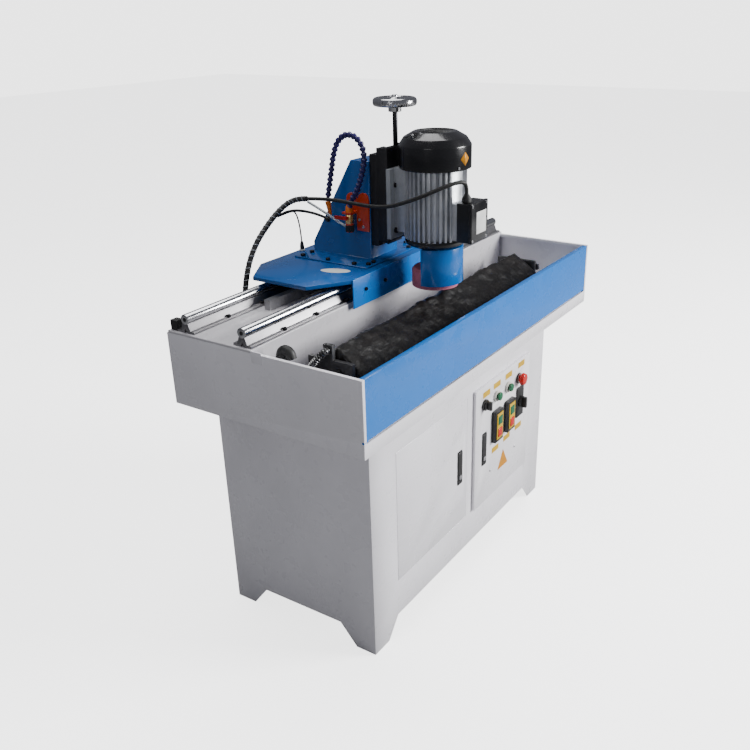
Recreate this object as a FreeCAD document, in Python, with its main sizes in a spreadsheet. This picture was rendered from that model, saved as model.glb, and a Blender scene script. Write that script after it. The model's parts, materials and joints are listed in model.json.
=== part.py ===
"""Wet grinding sharpener: a straight-knife grinding machine on a sheet steel cabinet.

The frame is millimetres, +X to the operator's right, -Y towards the operator and +Z up.
The origin is on the floor, under the middle of the machine.
"""
import FreeCAD, Part
import Sketcher
import math
import os
import re

V = FreeCAD.Vector
X_AXIS = V(1, 0, 0)
Y_AXIS = V(0, 1, 0)
Z_AXIS = V(0, 0, 1)

DIMENSIONS = {
    # sheet steel cabinet
    "cabinet_length": 990, "cabinet_front": -219, "cabinet_rear": 261, "cabinet_height": 664,
    "sheet": 2, "front_arch_height": 57, "front_arch_half": 384, "front_foot_inner": 430,
    "side_arch_height": 60, "side_arch_front": -107, "side_arch_rear": 151,
    "side_foot_front": -158, "side_foot_rear": 198, "base_set_back": 40, "base_thickness": 4,
    # doors
    "door_gap": 1, "door_bottom": 165, "left_door_left": -380, "left_door_right": -15,
    "left_door_top": 547, "right_door_left": 20, "right_door_right": 373,
    "right_door_top": 555, "right_door_proud": 9, "door_return": 15, "frame_overlap": 10,
    "latch_width": 25, "latch_height": 103, "left_latch_place": -55, "left_latch_level": 347,
    "right_latch_place": 75, "right_latch_level": 350, "latch_proud": 3, "latch_depth": 6,
    "latch_cup_depth": 12, "latch_cup_wall": 1,
    # water tray
    "tray_length": 1240, "tray_front": -299, "tray_rear": 271, "tray_top": 850,
    "tray_rim": 9, "front_strip_top": 700, "flap_bottom": 705,
    "flap_pivot_place": -296, "flap_pivot_level": 704, "flap_pin_radius": 3,
    "flap_pin_length": 16, "flap_lip": 14, "flap_curl": 9, "drain_radius": 14,
    # rail platform and rails
    "platform_front": 5, "platform_rear": 267, "platform_top": 856, "platform_half": 609,
    "platform_plate": 3, "platform_cap": 6, "rail_front_place": 36, "rail_rear_place": 214,
    "rail_level": 889, "rail_radius": 12.5, "rail_half": 612, "support_width": 55, "support_foot": 6,
    "support_neck": 16, "support_root": 30, "support_groove": 12, "rail_bolt_spacing": 122,
    "rail_bolt_offset": 21, "rail_bolt_radius": 5, "rail_bolt_height": 6, "rail_tap_radius": 4,
    "stop_length": 22, "stop_front": 242.5, "stop_rear": 264,
    "stop_height": 25,
    # rack and pinion travel drive
    "gear_module": 2, "pinion_teeth": 20, "pinion_place": 125, "rack_bottom": 856,
    "rack_height": 26, "rack_back": 165, "rack_half": 388, "gear_width": 20,
    "pinion_bottom": 860, "pinion_shaft_radius": 6, "pinion_shaft_top": 945,
    "gearbox_half_length": 40, "gearbox_half_width": 35, "gearbox_height": 45,
    "travel_motor_radius": 32, "travel_motor_height": 110,
    # carriage
    "carriage_place": -6, "plate_bottom": 910, "plate_thickness": 10, "plate_half": 339,
    "plate_shoulder": 238, "plate_front": -6, "plate_rear": 299, "plate_side_front": 63,
    "plate_side_rear": 237, "apron_bottom": 843, "apron_thickness": 3, "block_length": 65,
    "block_width": 70, "block_bottom": 870, "block_spread": 150, "block_slot": 28,
    # column
    "column_half": 64, "column_front": 54, "column_foot_rear": 251, "column_top_rear": 113,
    "column_foot": 924, "column_back_rise": 26, "column_top": 1184, "column_wall": 6,
    "flange_half": 140, "flange_front": 18, "flange_rear": 262, "column_bolt_radius": 7,
    "column_bolt_height": 6,
    # vertical slide
    "slide_bottom": 963, "slide_top": 1203, "slide_half": 60, "slide_face": 30.3,
    "dovetail_front": 18, "dovetail_wide": 34, "dovetail_narrow": 26, "slide_clearance": 0.15,
    "saddle_front": -3, "saddle_rear": 30, "saddle_half": 63, "saddle_bottom": 978,
    "saddle_top": 1220, "screw_place": 11.25, "screw_radius": 5, "screw_bottom": 1000,
    "nut_front": 4.5, "nut_bottom": 1080, "nut_height": 28, "channel_half": 12.5,
    "channel_front": 3, "channel_top": 1203,
    # grinding head
    "motor_place": -109, "head_plate_front": -16, "head_plate_bottom": 988,
    "head_plate_top": 1170, "head_plate_half": 70, "housing_bottom": 995,
    "housing_top": 1186, "housing_radius": 70, "housing_bore": 64, "fin_radius": 82,
    "fin_count": 36, "fin_thickness": 6, "cover_radius": 93, "cover_top": 1264,
    "cover_shoulder": 1232, "cover_wall": 2, "cover_overlap": 12, "shield_bottom": 973,
    "shield_radius": 80, "shaft_radius": 12,
    "shaft_bottom": 884, "shaft_top": 1244, "rotor_radius": 60, "rotor_bottom": 1015,
    "rotor_height": 140, "fan_radius": 70, "fan_height": 26, "running_fit": 0.05,
    "press_fit": 0.02, "box_half": 42, "box_front": -239, "box_rear": -197,
    "box_bottom": 998, "box_height": 99,
    "box_lid": 8, "gland_place": -22, "gland_radius": 9,
    # grinding wheel and guard
    "wheel_radius": 62.5, "wheel_bottom": 863, "wheel_height": 50, "wheel_rim": 14,
    "wheel_back": 14, "wheel_flange_radius": 35, "guard_radius": 75, "guard_bottom": 876,
    "guard_wall": 2,
    # handwheel
    "handwheel_radius": 57, "handwheel_bottom": 1322,
    "handwheel_shaft": 6.5, "hub_radius": 17, "hub_drop": 18,
    # magnetic chuck
    "chuck_left": -455, "chuck_right": 495, "chuck_place": -129, "chuck_level": 776,
    "chuck_width": 100, "chuck_thickness": 55, "chuck_face_thickness": 12, "chuck_tilt": 35,
    "pivot_radius": 10, "left_pivot_length": 26, "right_pivot_length": 38,
    "bracket_thickness": 12, "bracket_gap": 10, "bracket_front": 40, "bracket_rear": 88,
    "knob_radius": 14, "knob_length": 26, "knob_half": 34,
    # control panel
    "button_row": 497, "button_first": 72, "button_spacing": 74.5, "collar_radius": 15,
    "collar_height": 5, "barrel_radius": 10.8, "button_radius": 8,
    "switch_box_first": 147, "switch_box_second": 228,
    "switch_box_level": 351, "switch_box_width": 50, "switch_box_height": 101,
    "switch_box_depth": 14, "start_level": 56, "stop_level": 16, "key_half": 13,
    "key_height": 28, "key_gap": 0.3, "cam_plate_left": 284, "cam_plate_width": 45,
    "cam_plate_bottom": 365, "cam_plate_height": 100, "cam_plate_thickness": 5,
    # coolant set
    "tank_length": 360, "tank_depth": 300, "tank_height": 220, "tank_wall": 3,
    "tank_left": 60, "tank_front": -80, "tank_bottom": 70, "pump_inlet_radius": 45,
    "pump_neck_radius": 14, "pump_motor_radius": 52, "pump_motor_height": 110,
    # coolant tap on the column's left face
    "tap_plate": 6, "tap_lobe_radius": 16, "tap_place": 104, "tap_reach": 25,
    "tap_stem_reach": 35, "tap_level": 1038,
    # way in for the cable bundle and the mains lead at the back
    "bundle_place": -330, "bundle_line": 285, "bundle_level": 632, "mains_place": 380,
    "mains_level": 180,
}

PRESSURE_ANGLE = math.radians(20)
ADDENDUM = 0.9
DEDENDUM = 1.2
TOOTH_THINNING = 0.1

doc = FreeCAD.newDocument("wet_grinding_sharpener")
PARTS = []


def make_sheet():
    """Puts every driving dimension in one spreadsheet, each under its alias."""
    table = doc.addObject("Spreadsheet::Sheet", "Dims")
    for row, (alias, value) in enumerate(DIMENSIONS.items(), start=1):
        table.set(f"A{row}", alias)
        table.set(f"B{row}", str(value))
        table.setAlias(f"B{row}", alias)
    doc.recompute()


def bound(text):
    """Points each dimension's name in an expression at its cell."""
    return re.sub(r"[a-z_]+", lambda m: f"Dims.{m[0]}" if m[0] in DIMENSIONS else m[0], str(text))


def size(text):
    """The number that an expression of the sheet's names and + - * / gives."""
    cell = doc.Dims.evalExpression(re.sub(r"Dims\.", "", bound(text)))
    return float(getattr(cell, "Value", cell))


def place(item, x=0, y=0, z=0, turn=None):
    """Binds an item's position; turn is (axis, degrees)."""
    if turn:
        item.Placement = FreeCAD.Placement(V(), FreeCAD.Rotation(*turn))
    for axis, text in zip("xyz", (x, y, z)):
        item.setExpression(f"Placement.Base.{axis}", bound(text))
    return item


def block(x, y, z):
    """A box between three (low, high) pairs of expressions."""
    item = doc.addObject("Part::Box", "block")
    for side, (low, high) in zip(("Length", "Width", "Height"), (x, y, z)):
        item.setExpression(side, bound(f"({high}) - ({low})"))
    return place(item, x[0], y[0], z[0])


def rod(radius, length, x, y, z, turn=None):
    """A cylinder that starts at x, y, z and runs along +Z, or along +Z turned."""
    item = doc.addObject("Part::Cylinder", "rod")
    item.setExpression("Radius", bound(radius))
    item.setExpression("Height", bound(length))
    return place(item, x, y, z, turn)


def cone(low_radius, high_radius, length, x, y, z, turn=None):
    """A cone frustum that starts at x, y, z and runs along +Z, or along +Z turned."""
    item = doc.addObject("Part::Cone", "cone")
    item.setExpression("Radius1", bound(low_radius))
    item.setExpression("Radius2", bound(high_radius))
    item.setExpression("Height", bound(length))
    return place(item, x, y, z, turn)


def joined(*items):
    item = doc.addObject("Part::MultiFuse", "joined")
    item.Shapes = list(items)
    return item


def together(*items):
    """Separate solids kept side by side in one node."""
    item = doc.addObject("Part::Compound", "together")
    item.Links = list(items)
    return item


def without(base, *tools):
    item = doc.addObject("Part::Cut", "without")
    item.Base = base
    item.Tool = tools[0] if len(tools) == 1 else together(*tools)
    return item


def part(name, item):
    """Registers an item as the sub-part of that name."""
    item.Label = name
    PARTS.append(item)
    return item


def plane_of(body, role):
    return next(f for f in body.Origin.OriginFeatures if f.Role == role)


def outline(body, role, points, level=0):
    """A closed, fully constrained polygon sketch; level is its height above the plane."""
    sketch = body.newObject("Sketcher::SketchObject", "outline")
    sketch.AttachmentSupport = (plane_of(body, role), [""])
    sketch.MapMode = "FlatFace"
    sketch.setExpression("AttachmentOffset.Base.z", bound(level))
    start = [V(size(a), size(b), 0) for a, b in points]
    for i, corner in enumerate(start):
        sketch.addGeometry(Part.LineSegment(corner, start[(i + 1) % len(start)]), False)
    for i, (a, b) in enumerate(points):
        constrain(sketch, "Coincident", i, 2, (i + 1) % len(points), 1)
        bind_distance(sketch, "DistanceX", i, a)
        bind_distance(sketch, "DistanceY", i, b)
    return sketch


def circle(body, role, x, y, radius, level=0):
    """A fully constrained circle sketch; level is its height above the plane."""
    sketch = body.newObject("Sketcher::SketchObject", "circle")
    sketch.AttachmentSupport = (plane_of(body, role), [""])
    sketch.MapMode = "FlatFace"
    sketch.setExpression("AttachmentOffset.Base.z", bound(level))
    sketch.addGeometry(Part.Circle(V(size(x), size(y), 0), Z_AXIS, size(radius)), False)
    for kind, text in (("DistanceX", x), ("DistanceY", y)):
        number = constrain(sketch, kind, -1, 1, 0, 3, size(text))
        sketch.setExpression(f"Constraints[{number}]", bound(text))
    number = constrain(sketch, "Radius", 0, size(radius))
    sketch.setExpression(f"Constraints[{number}]", bound(radius))
    return sketch


def constrain(sketch, *definition):
    return sketch.addConstraint(Sketcher.Constraint(*definition))


def bind_distance(sketch, kind, line, text):
    """Holds a line's start point at a distance from the origin, bound to the sheet."""
    number = constrain(sketch, kind, -1, 1, line, 1, size(text))
    sketch.setExpression(f"Constraints[{number}]", bound(text))


def pad(body, sketch, length, reverse=False, midplane=False):
    feature = body.newObject("PartDesign::Pad", "pad")
    feature.Profile = sketch
    feature.setExpression("Length", bound(length))
    feature.Reversed = reverse
    feature.Midplane = midplane
    return feature


def pocket(body, sketch, length, reverse=False, midplane=False):
    """Cuts a sketch's outline out and checks that something was removed."""
    before = body.Tip
    doc.recompute()
    volume = before.Shape.Volume
    feature = body.newObject("PartDesign::Pocket", "pocket")
    feature.Profile = sketch
    feature.setExpression("Length", bound(length))
    feature.Reversed = reverse
    feature.Midplane = midplane
    doc.recompute()
    if not feature.Shape.Volume < volume - 1:
        raise ValueError(f"a pocket of {body.Label} removes nothing")
    return feature


def rectangle(x_low, x_high, y_low, y_high):
    return [(x_low, y_low), (x_high, y_low), (x_high, y_high), (x_low, y_high)]


def new_body(name):
    body = doc.addObject("PartDesign::Body", name)
    return part(name, body)


def turned(name, profile, x, y, z=0):
    """A body turned about an upright axis; profile is a closed outline in (radius, height)."""
    body = new_body(name)
    sketch = outline(body, "XZ_Plane", profile)
    feature = body.newObject("PartDesign::Revolution", "turning")
    feature.Profile = sketch
    feature.ReferenceAxis = (sketch, ["V_Axis"])
    feature.Angle = 360
    place(body, x, y, z)
    return body


def shaped(name, shape, x=0, y=0, z=0, turn=None):
    """A sub-part whose shape comes from Part's own functions."""
    item = doc.addObject("Part::Feature", name)
    item.Shape = shape
    place(item, x, y, z, turn)
    return part(name, item)


# ---------------------------------------------------------------- cabinet

def cabinet():
    """A folded box, open below, with a floor, arched feet and two door openings."""
    body = new_body("cabinet_shell")
    half = "cabinet_length / 2"
    pad(body, outline(body, "XY_Plane",
                      rectangle(f"-{half}", half, "cabinet_front", "cabinet_rear")),
        "cabinet_height")
    pocket(body, outline(body, "XY_Plane",
                         rectangle(f"-{half} + sheet", f"{half} - sheet",
                                   "cabinet_front + sheet", "cabinet_rear - sheet")),
           "cabinet_height - sheet", reverse=True)
    pad(body, outline(body, "XY_Plane",
                      rectangle(f"-{half}", half, "cabinet_front + base_set_back",
                                "cabinet_rear"),
                      "tank_bottom - base_thickness"), "base_thickness")
    arch = [("-front_foot_inner", -1), ("-front_foot_inner", 0),
            ("-front_arch_half", "front_arch_height"),
            ("front_arch_half", "front_arch_height"), ("front_foot_inner", 0),
            ("front_foot_inner", -1)]
    pocket(body, outline(body, "XZ_Plane", arch), "(cabinet_rear - cabinet_front) * 1.5",
           midplane=True)
    side_arch = [("side_foot_front", -1), ("side_foot_front", 0),
                 ("side_arch_front", "side_arch_height"),
                 ("side_arch_rear", "side_arch_height"), ("side_foot_rear", 0),
                 ("side_foot_rear", -1)]
    pocket(body, outline(body, "YZ_Plane", side_arch), "cabinet_length * 1.2", midplane=True)
    left_opening = rectangle("left_door_left - door_gap", "left_door_right + door_gap",
                             "door_bottom - door_gap", "left_door_top + door_gap")
    right_opening = rectangle("right_door_left + frame_overlap",
                              "right_door_right - frame_overlap",
                              "door_bottom + frame_overlap",
                              "right_door_top - frame_overlap")
    for opening in (left_opening, right_opening):
        pocket(body, outline(body, "XZ_Plane", opening, "-cabinet_front - sheet"),
               "sheet * 2", reverse=True)


def door_left():
    """A flush door with folded returns and a cup that the latch paddle sits in."""
    front = "cabinet_front"
    x = ("left_door_left", "left_door_right")
    z = ("door_bottom", "left_door_top")
    outer = block(x, (front, f"{front} + door_return"), z)
    inner = block(("left_door_left + sheet", "left_door_right - sheet"),
                  (f"{front} + sheet", f"{front} + door_return + 1"),
                  ("door_bottom + sheet", "left_door_top - sheet"))
    panel = without(outer, inner)
    part("door_panel_left",
         with_latch_cup(panel, "left_latch_place", "left_latch_level", front))


def door_right():
    """A raised control door with folded edges and holes for the controls' bodies."""
    front = "cabinet_front - right_door_proud"
    outer = block(("right_door_left", "right_door_right"), (front, "cabinet_front - 0.3"),
                  ("door_bottom", "right_door_top"))
    inner = block(("right_door_left + sheet", "right_door_right - sheet"),
                  (f"{front} + sheet", "cabinet_front"),
                  ("door_bottom + sheet", "right_door_top - sheet"))
    holes = [rod("barrel_radius + 0.2", 20, f"button_first + {i} * button_spacing", f"{front} - 5",
                 "button_row", (X_AXIS, -90)) for i in range(4)]
    panel = without(without(outer, inner), *holes)
    part("door_panel_right",
         with_latch_cup(panel, "right_latch_place", "right_latch_level", front))


def with_latch_cup(panel, x, z, front):
    """Adds the sheet cup that a latch paddle lies in."""
    half, rise, wall = "(latch_width + 2) / 2", "(latch_height + 6) / 2", "latch_cup_wall"
    cup = block((f"{x} - {half} - {wall}", f"{x} + {half} + {wall}"),
                (front, f"{front} + latch_cup_depth + {wall}"),
                (f"{z} - {rise} - {wall}", f"{z} + {rise} + {wall}"))
    hollow = block((f"{x} - {half}", f"{x} + {half}"),
                   (f"{front} - 1", f"{front} + latch_cup_depth"),
                   (f"{z} - {rise}", f"{z} + {rise}"))
    return without(joined(panel, cup), hollow)


def latch_paddles():
    """The flat paddles that open the doors."""
    sides = {"left": "cabinet_front", "right": "cabinet_front - right_door_proud"}
    for side, front in sides.items():
        x = f"{side}_latch_place"
        z = f"{side}_latch_level"
        part(f"latch_paddle_{side}",
             block((f"{x} - latch_width / 2", f"{x} + latch_width / 2"),
                   (f"{front} - latch_proud", f"{front} + latch_depth"),
                   (f"{z} - latch_height / 2", f"{z} + latch_height / 2")))


# ---------------------------------------------------------------- tray and rails

def tray():
    """The water tray: an open box with rims at its ends and an open front for the flap."""
    half = "tray_length / 2"
    outer = block((f"-{half}", half), ("tray_front", "tray_rear"),
                  ("cabinet_height", "tray_top"))
    hollow = block((f"-{half} + sheet", f"{half} - sheet"),
                   ("tray_front + sheet", "tray_rear - sheet"),
                   ("cabinet_height + sheet", "tray_top + 1"))
    mouth = block((f"-{half} + tray_rim", f"{half} - tray_rim"),
                  ("tray_front - 1", "tray_front + 5"), ("front_strip_top", "tray_top + 1"))
    rims = []
    for low, high in ((f"-{half}", f"-{half} + tray_rim"), (f"{half} - tray_rim", half)):
        rims.append(block((low, high), ("tray_front", "tray_rear"),
                          ("tray_top - tray_rim", "tray_top")))
        rims.append(block((low, high), ("tray_front", "tray_front + tray_rim"),
                          ("cabinet_height", "tray_top")))
    holes = [rod("flap_pin_radius + running_fit", 30, f"{side}{half} - 15",
                 "flap_pivot_place", "flap_pivot_level", (Y_AXIS, 90))
             for side in ("-", "")]
    drain = rod("drain_radius", 20, "-tray_length / 4", "platform_front - 40", "cabinet_height - 10")
    shell = without(joined(without(outer, hollow, mouth), *rims), *holes, drain)
    part("tray", shell)


def front_flap():
    """The fold-down splash guard: a sheet with a folded lip and its two pivot screws."""
    half = "tray_length / 2 - tray_rim - 0.5"
    face = "tray_front + 1"
    front_sheet = block((f"-({half})", half), (face, f"{face} + sheet"),
                        ("flap_bottom", "tray_top - 1"))
    lip = block((f"-({half})", half), (face, f"{face} + flap_lip"),
                ("tray_top - 1 - sheet", "tray_top - 1"))
    curl = block((f"-({half})", half), (face, f"{face} + flap_curl"),
                 ("flap_bottom", "flap_bottom + sheet"))
    pins = [rod("flap_pin_radius", "flap_pin_length", start, "flap_pivot_place",
                "flap_pivot_level", (Y_AXIS, turn))
            for start, turn in (("tray_length / 2", -90), ("-tray_length / 2", 90))]
    part("front_flap", joined(front_sheet, lip, curl, *pins))


def rail_platform():
    """The folded platform behind the trough that carries both rails."""
    body = new_body("rail_platform")
    front, rear, top = "platform_front", "platform_rear", "platform_top"
    low = "cabinet_height + sheet"
    profile = [(front, low), (f"{front} + platform_plate", low),
               (f"{front} + platform_plate", f"{top} - platform_plate"),
               (f"{rear} - platform_plate", f"{top} - platform_plate"),
               (f"{rear} - platform_plate", low), (rear, low), (rear, top), (front, top)]
    pad(body, outline(body, "YZ_Plane", profile), "platform_half * 2", midplane=True)
    cap = rectangle(front, rear, "tray_top", "tray_top + platform_cap")
    pad(body, outline(body, "YZ_Plane", cap), "tray_length", midplane=True)


def rails():
    """Two ground shafts, tapped at their ends, on drawn supports."""
    shafts = [rod("rail_radius", "rail_half * 2", "-rail_half", y, "rail_level",
                  (Y_AXIS, 90)) for y in ("rail_front_place", "rail_rear_place")]
    taps = [rod("rail_tap_radius", 25, "-rail_half - 1", y, "rail_level", (Y_AXIS, 90))
            for y in ("rail_front_place", "rail_rear_place")]
    part("rail_shafts", without(together(*shafts), *taps))
    part("rail_supports", together(rail_support("rail_front_place"),
                                   rail_support("rail_rear_place")))


def rail_support(y):
    """A drawn support: a grooved foot with a tapering web that cradles the shaft."""
    body = doc.addObject("PartDesign::Body", "support")
    low, step, neck = "platform_top", "platform_top + support_foot", "rail_level - 7.5"
    right = [("support_groove / 2", low), ("support_width / 2", low),
             ("support_width / 2", step), ("support_root / 2", step),
             ("support_neck / 2", neck)]
    left = [(f"-({across})", height) for across, height in reversed(right)]
    section = [(f"{y} + {across}", height)
               for across, height in [("0", f"{low} + support_groove")] + right + left]
    pad(body, outline(body, "YZ_Plane", section), "rail_half * 2", midplane=True)
    cradle = rod("rail_radius + press_fit", "rail_half * 2 + 2", "-rail_half - 1", y,
                 "rail_level", (Y_AXIS, 90))
    return without(body, cradle)


def rail_bolts():
    """Socket head bolts along both edges of both rail supports."""
    low = size("platform_top + support_foot")
    radius, height = size("rail_bolt_radius"), size("rail_bolt_height")
    solids = []
    for rail in ("rail_front_place", "rail_rear_place"):
        for side in (-1, 1):
            for i in range(-4, 5):
                x = i * size("rail_bolt_spacing")
                y = size(rail) + side * size("rail_bolt_offset")
                head = Part.makeCylinder(radius, height, V(x, y, low))
                socket = Part.makeCylinder(radius / 2, height / 2, V(x, y, low + 3.5))
                solids.append(head.cut(socket))
    shaped("rail_bolts", Part.makeCompound(solids))


def end_stops():
    """Rubber-faced blocks that the rear bearing blocks run up to."""
    y, z = ("stop_front", "stop_rear"), ("platform_top", "platform_top + stop_height")
    part("end_stops", together(block(("-rail_half", "-rail_half + stop_length"), y, z),
                               block(("rail_half - stop_length", "rail_half"), y, z)))


# ---------------------------------------------------------------- travel drive

def involute_tooth(module, teeth, steps=6):
    """One tooth's outline, in (radius, angle) pairs about its own middle."""
    pitch_radius = module * teeth / 2
    base_radius = pitch_radius * math.cos(PRESSURE_ANGLE)
    tip_radius = pitch_radius + module * ADDENDUM
    root_radius = pitch_radius - module * DEDENDUM
    spread = math.tan(PRESSURE_ANGLE) - PRESSURE_ANGLE
    half_pitch_angle = math.pi / (2 * teeth) - TOOTH_THINNING / pitch_radius
    flank = [(root_radius, half_pitch_angle + spread)]
    start = max(base_radius, root_radius)
    for i in range(steps + 1):
        radius = start + (tip_radius - start) * i / steps
        roll = math.acos(base_radius / radius)
        involute = math.tan(roll) - roll
        flank.append((radius, half_pitch_angle + spread - involute))
    return flank


def polar(radius, angle):
    return V(radius * math.cos(angle), radius * math.sin(angle), 0)


def pinion():
    """The travel pinion, with a gap between teeth facing the rack, and its shaft."""
    teeth = int(size("pinion_teeth"))
    flank = involute_tooth(size("gear_module"), teeth)
    points = []
    for k in range(teeth):
        middle = math.pi / 2 + (k + 0.5) * 2 * math.pi / teeth
        for radius, angle in flank:
            points.append(polar(radius, middle - angle))
        for radius, angle in reversed(flank):
            points.append(polar(radius, middle + angle))
    face = Part.Face(Part.makePolygon(points + points[:1]))
    gear = face.extrude(V(0, 0, size("gear_width")))
    shaft = Part.makeCylinder(size("pinion_shaft_radius"),
                              size("pinion_shaft_top - pinion_bottom"))
    shaped("travel_pinion", gear.fuse(shaft).removeSplitter(), "carriage_place",
           "pinion_place", "pinion_bottom")


def rack():
    """A straight rack whose teeth face the operator; one tooth is in line with the pinion."""
    module = size("gear_module")
    pitch = math.pi * module
    line = size("pinion_place + gear_module * pinion_teeth / 2")
    middle = size("carriage_place")
    half = size("rack_half")
    slope = math.tan(PRESSURE_ANGLE)
    thickness = pitch / 4 - TOOTH_THINNING
    tip, root = module * ADDENDUM, module * DEDENDUM
    points = [V(-half, size("rack_back"), 0), V(-half, line + root, 0)]
    first = math.ceil((-half - middle) / pitch + 1)
    last = math.floor((half - middle) / pitch - 1)
    for k in range(first, last + 1):
        x = middle + k * pitch
        points.append(V(x - thickness - root * slope, line + root, 0))
        points.append(V(x - thickness + tip * slope, line - tip, 0))
        points.append(V(x + thickness - tip * slope, line - tip, 0))
        points.append(V(x + thickness + root * slope, line + root, 0))
    points += [V(half, line + root, 0), V(half, size("rack_back"), 0)]
    face = Part.Face(Part.makePolygon(points + points[:1]))
    shaped("gear_rack", face.extrude(V(0, 0, size("rack_height"))), 0, 0, "rack_bottom")


# ---------------------------------------------------------------- carriage

def carriage_plate():
    """The eight-cornered plate that carries the column, open under the travel motor."""
    body = new_body("carriage_plate")
    half, shoulder = "plate_half", "plate_shoulder"
    corners = [(f"-{half}", "plate_side_front"), (f"-{shoulder}", "plate_front"),
               (shoulder, "plate_front"), (half, "plate_side_front"),
               (half, "plate_side_rear"), (shoulder, "plate_rear"),
               (f"-{shoulder}", "plate_rear"), (f"-{half}", "plate_side_rear")]
    pad(body, outline(body, "XY_Plane", corners), "plate_thickness")
    pocket(body, outline(body, "XY_Plane",
                         rectangle(-9, 9, "pinion_place - 9", "pinion_place + 9")),
           "plate_thickness", reverse=True)
    place(body, "carriage_place", 0, "plate_bottom")


def apron():
    """The sheet that hangs from the plate's front edge over the front rail."""
    item = block(("carriage_place - plate_shoulder", "carriage_place + plate_shoulder"),
                 ("plate_front - apron_thickness", "plate_front"),
                 ("apron_bottom", "plate_bottom + plate_thickness"))
    part("front_apron", item)


def bearing_blocks():
    """Four open linear bearings, two to a rail."""
    blocks = []
    for y in ("rail_front_place", "rail_rear_place"):
        for side in ("-", "+"):
            x = f"carriage_place {side} block_spread"
            body = block((f"{x} - block_length / 2", f"{x} + block_length / 2"),
                         (f"{y} - block_width / 2", f"{y} + block_width / 2"),
                         ("block_bottom", "plate_bottom"))
            bore = rod("rail_radius + running_fit", "block_length + 2",
                       f"{x} - block_length / 2 - 1", y, "rail_level", (Y_AXIS, 90))
            slot = block((f"{x} - block_length", f"{x} + block_length"),
                         (f"{y} - block_slot / 2", f"{y} + block_slot / 2"),
                         ("block_bottom - 1", "rail_level"))
            blocks.append(without(body, bore, slot))
    part("bearing_blocks", together(*blocks))


def column():
    """Hollow column: upright front, sloping back, and a base flange."""
    body = new_body("column")
    bend = "column_foot + column_back_rise"
    profile = [("column_front", "column_foot"), ("column_foot_rear", "column_foot"),
               ("column_foot_rear", bend), ("column_top_rear", "column_top"),
               ("column_front", "column_top")]
    wall = "column_wall"
    inner = [(f"column_front + {wall}", "column_foot - 1"),
             (f"column_foot_rear - {wall}", "column_foot - 1"),
             (f"column_foot_rear - {wall}", bend),
             (f"column_top_rear - {wall}", f"column_top - {wall}"),
             (f"column_front + {wall}", f"column_top - {wall}")]
    pad(body, outline(body, "YZ_Plane", profile), "column_half * 2", midplane=True)
    base = outline(body, "XY_Plane", rectangle("-flange_half", "flange_half",
                                               "flange_front", "flange_rear"),
                   "plate_bottom + plate_thickness")
    pad(body, base, "column_foot - plate_bottom - plate_thickness")
    pocket(body, outline(body, "YZ_Plane", inner), "(column_half - column_wall) * 2",
           midplane=True)
    pocket(body, outline(body, "XY_Plane",
                         rectangle("-column_half + 10", "column_half - 10",
                                   "pinion_place - 45", "pinion_place + 45"),
                         "plate_bottom + plate_thickness"), 40, reverse=True)
    place(body, "carriage_place", 0, 0)


def column_bolts():
    """Hexagon bolts that hold the column's flange to the carriage plate."""
    low = size("column_foot")
    one_side = [(128, 66), (128, 154), (128, 240), (88, 240), (112, 31), (88, 31)]
    spots = [(side * x, y) for side in (-1, 1) for x, y in one_side]
    solids = []
    for x, y in spots:
        corners = [polar(size("column_bolt_radius"), math.radians(60 * k)) for k in range(7)]
        head = Part.Face(Part.makePolygon(corners)).extrude(
            V(0, 0, size("column_bolt_height")))
        head.translate(V(x, y, low))
        solids.append(head)
    shaped("column_bolts", Part.makeCompound(solids), "carriage_place")


def dovetail_base():
    """The fixed slide way on the column, with the feed nut on its front."""
    body = new_body("dovetail_base")
    face, nose = "slide_face", "dovetail_front"
    profile = [("-slide_half", "column_front"), ("-slide_half", face),
               ("-dovetail_narrow", face), ("-dovetail_wide", nose),
               ("dovetail_wide", nose), ("dovetail_narrow", face),
               ("slide_half", face), ("slide_half", "column_front")]
    pad(body, outline(body, "XY_Plane", profile, "slide_bottom"), "slide_top - slide_bottom")
    nut = outline(body, "XY_Plane", rectangle("1 - channel_half", "channel_half - 1",
                                               "nut_front", nose),
                  "nut_bottom")
    pad(body, nut, "nut_height")
    bore = circle(body, "XY_Plane", 0, "screw_place", "screw_radius + running_fit")
    pocket(body, bore, "slide_top", reverse=True)
    place(body, "carriage_place", 0, 0)


def travel_motor():
    """The geared travel motor, which stands on the plate inside the column."""
    x, y, z = "carriage_place", "pinion_place", "plate_bottom + plate_thickness"
    gearbox = block((f"{x} - gearbox_half_length", f"{x} + gearbox_half_length"),
                    (f"{y} - gearbox_half_width", f"{y} + gearbox_half_width"),
                    (z, f"{z} + gearbox_height"))
    motor = rod("travel_motor_radius", "travel_motor_height", x, y, f"{z} + gearbox_height")
    bore = rod("pinion_shaft_radius + running_fit", 36, x, y, f"{z} - 1")
    part("travel_motor", without(joined(gearbox, motor), bore))


# ---------------------------------------------------------------- grinding head

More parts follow.
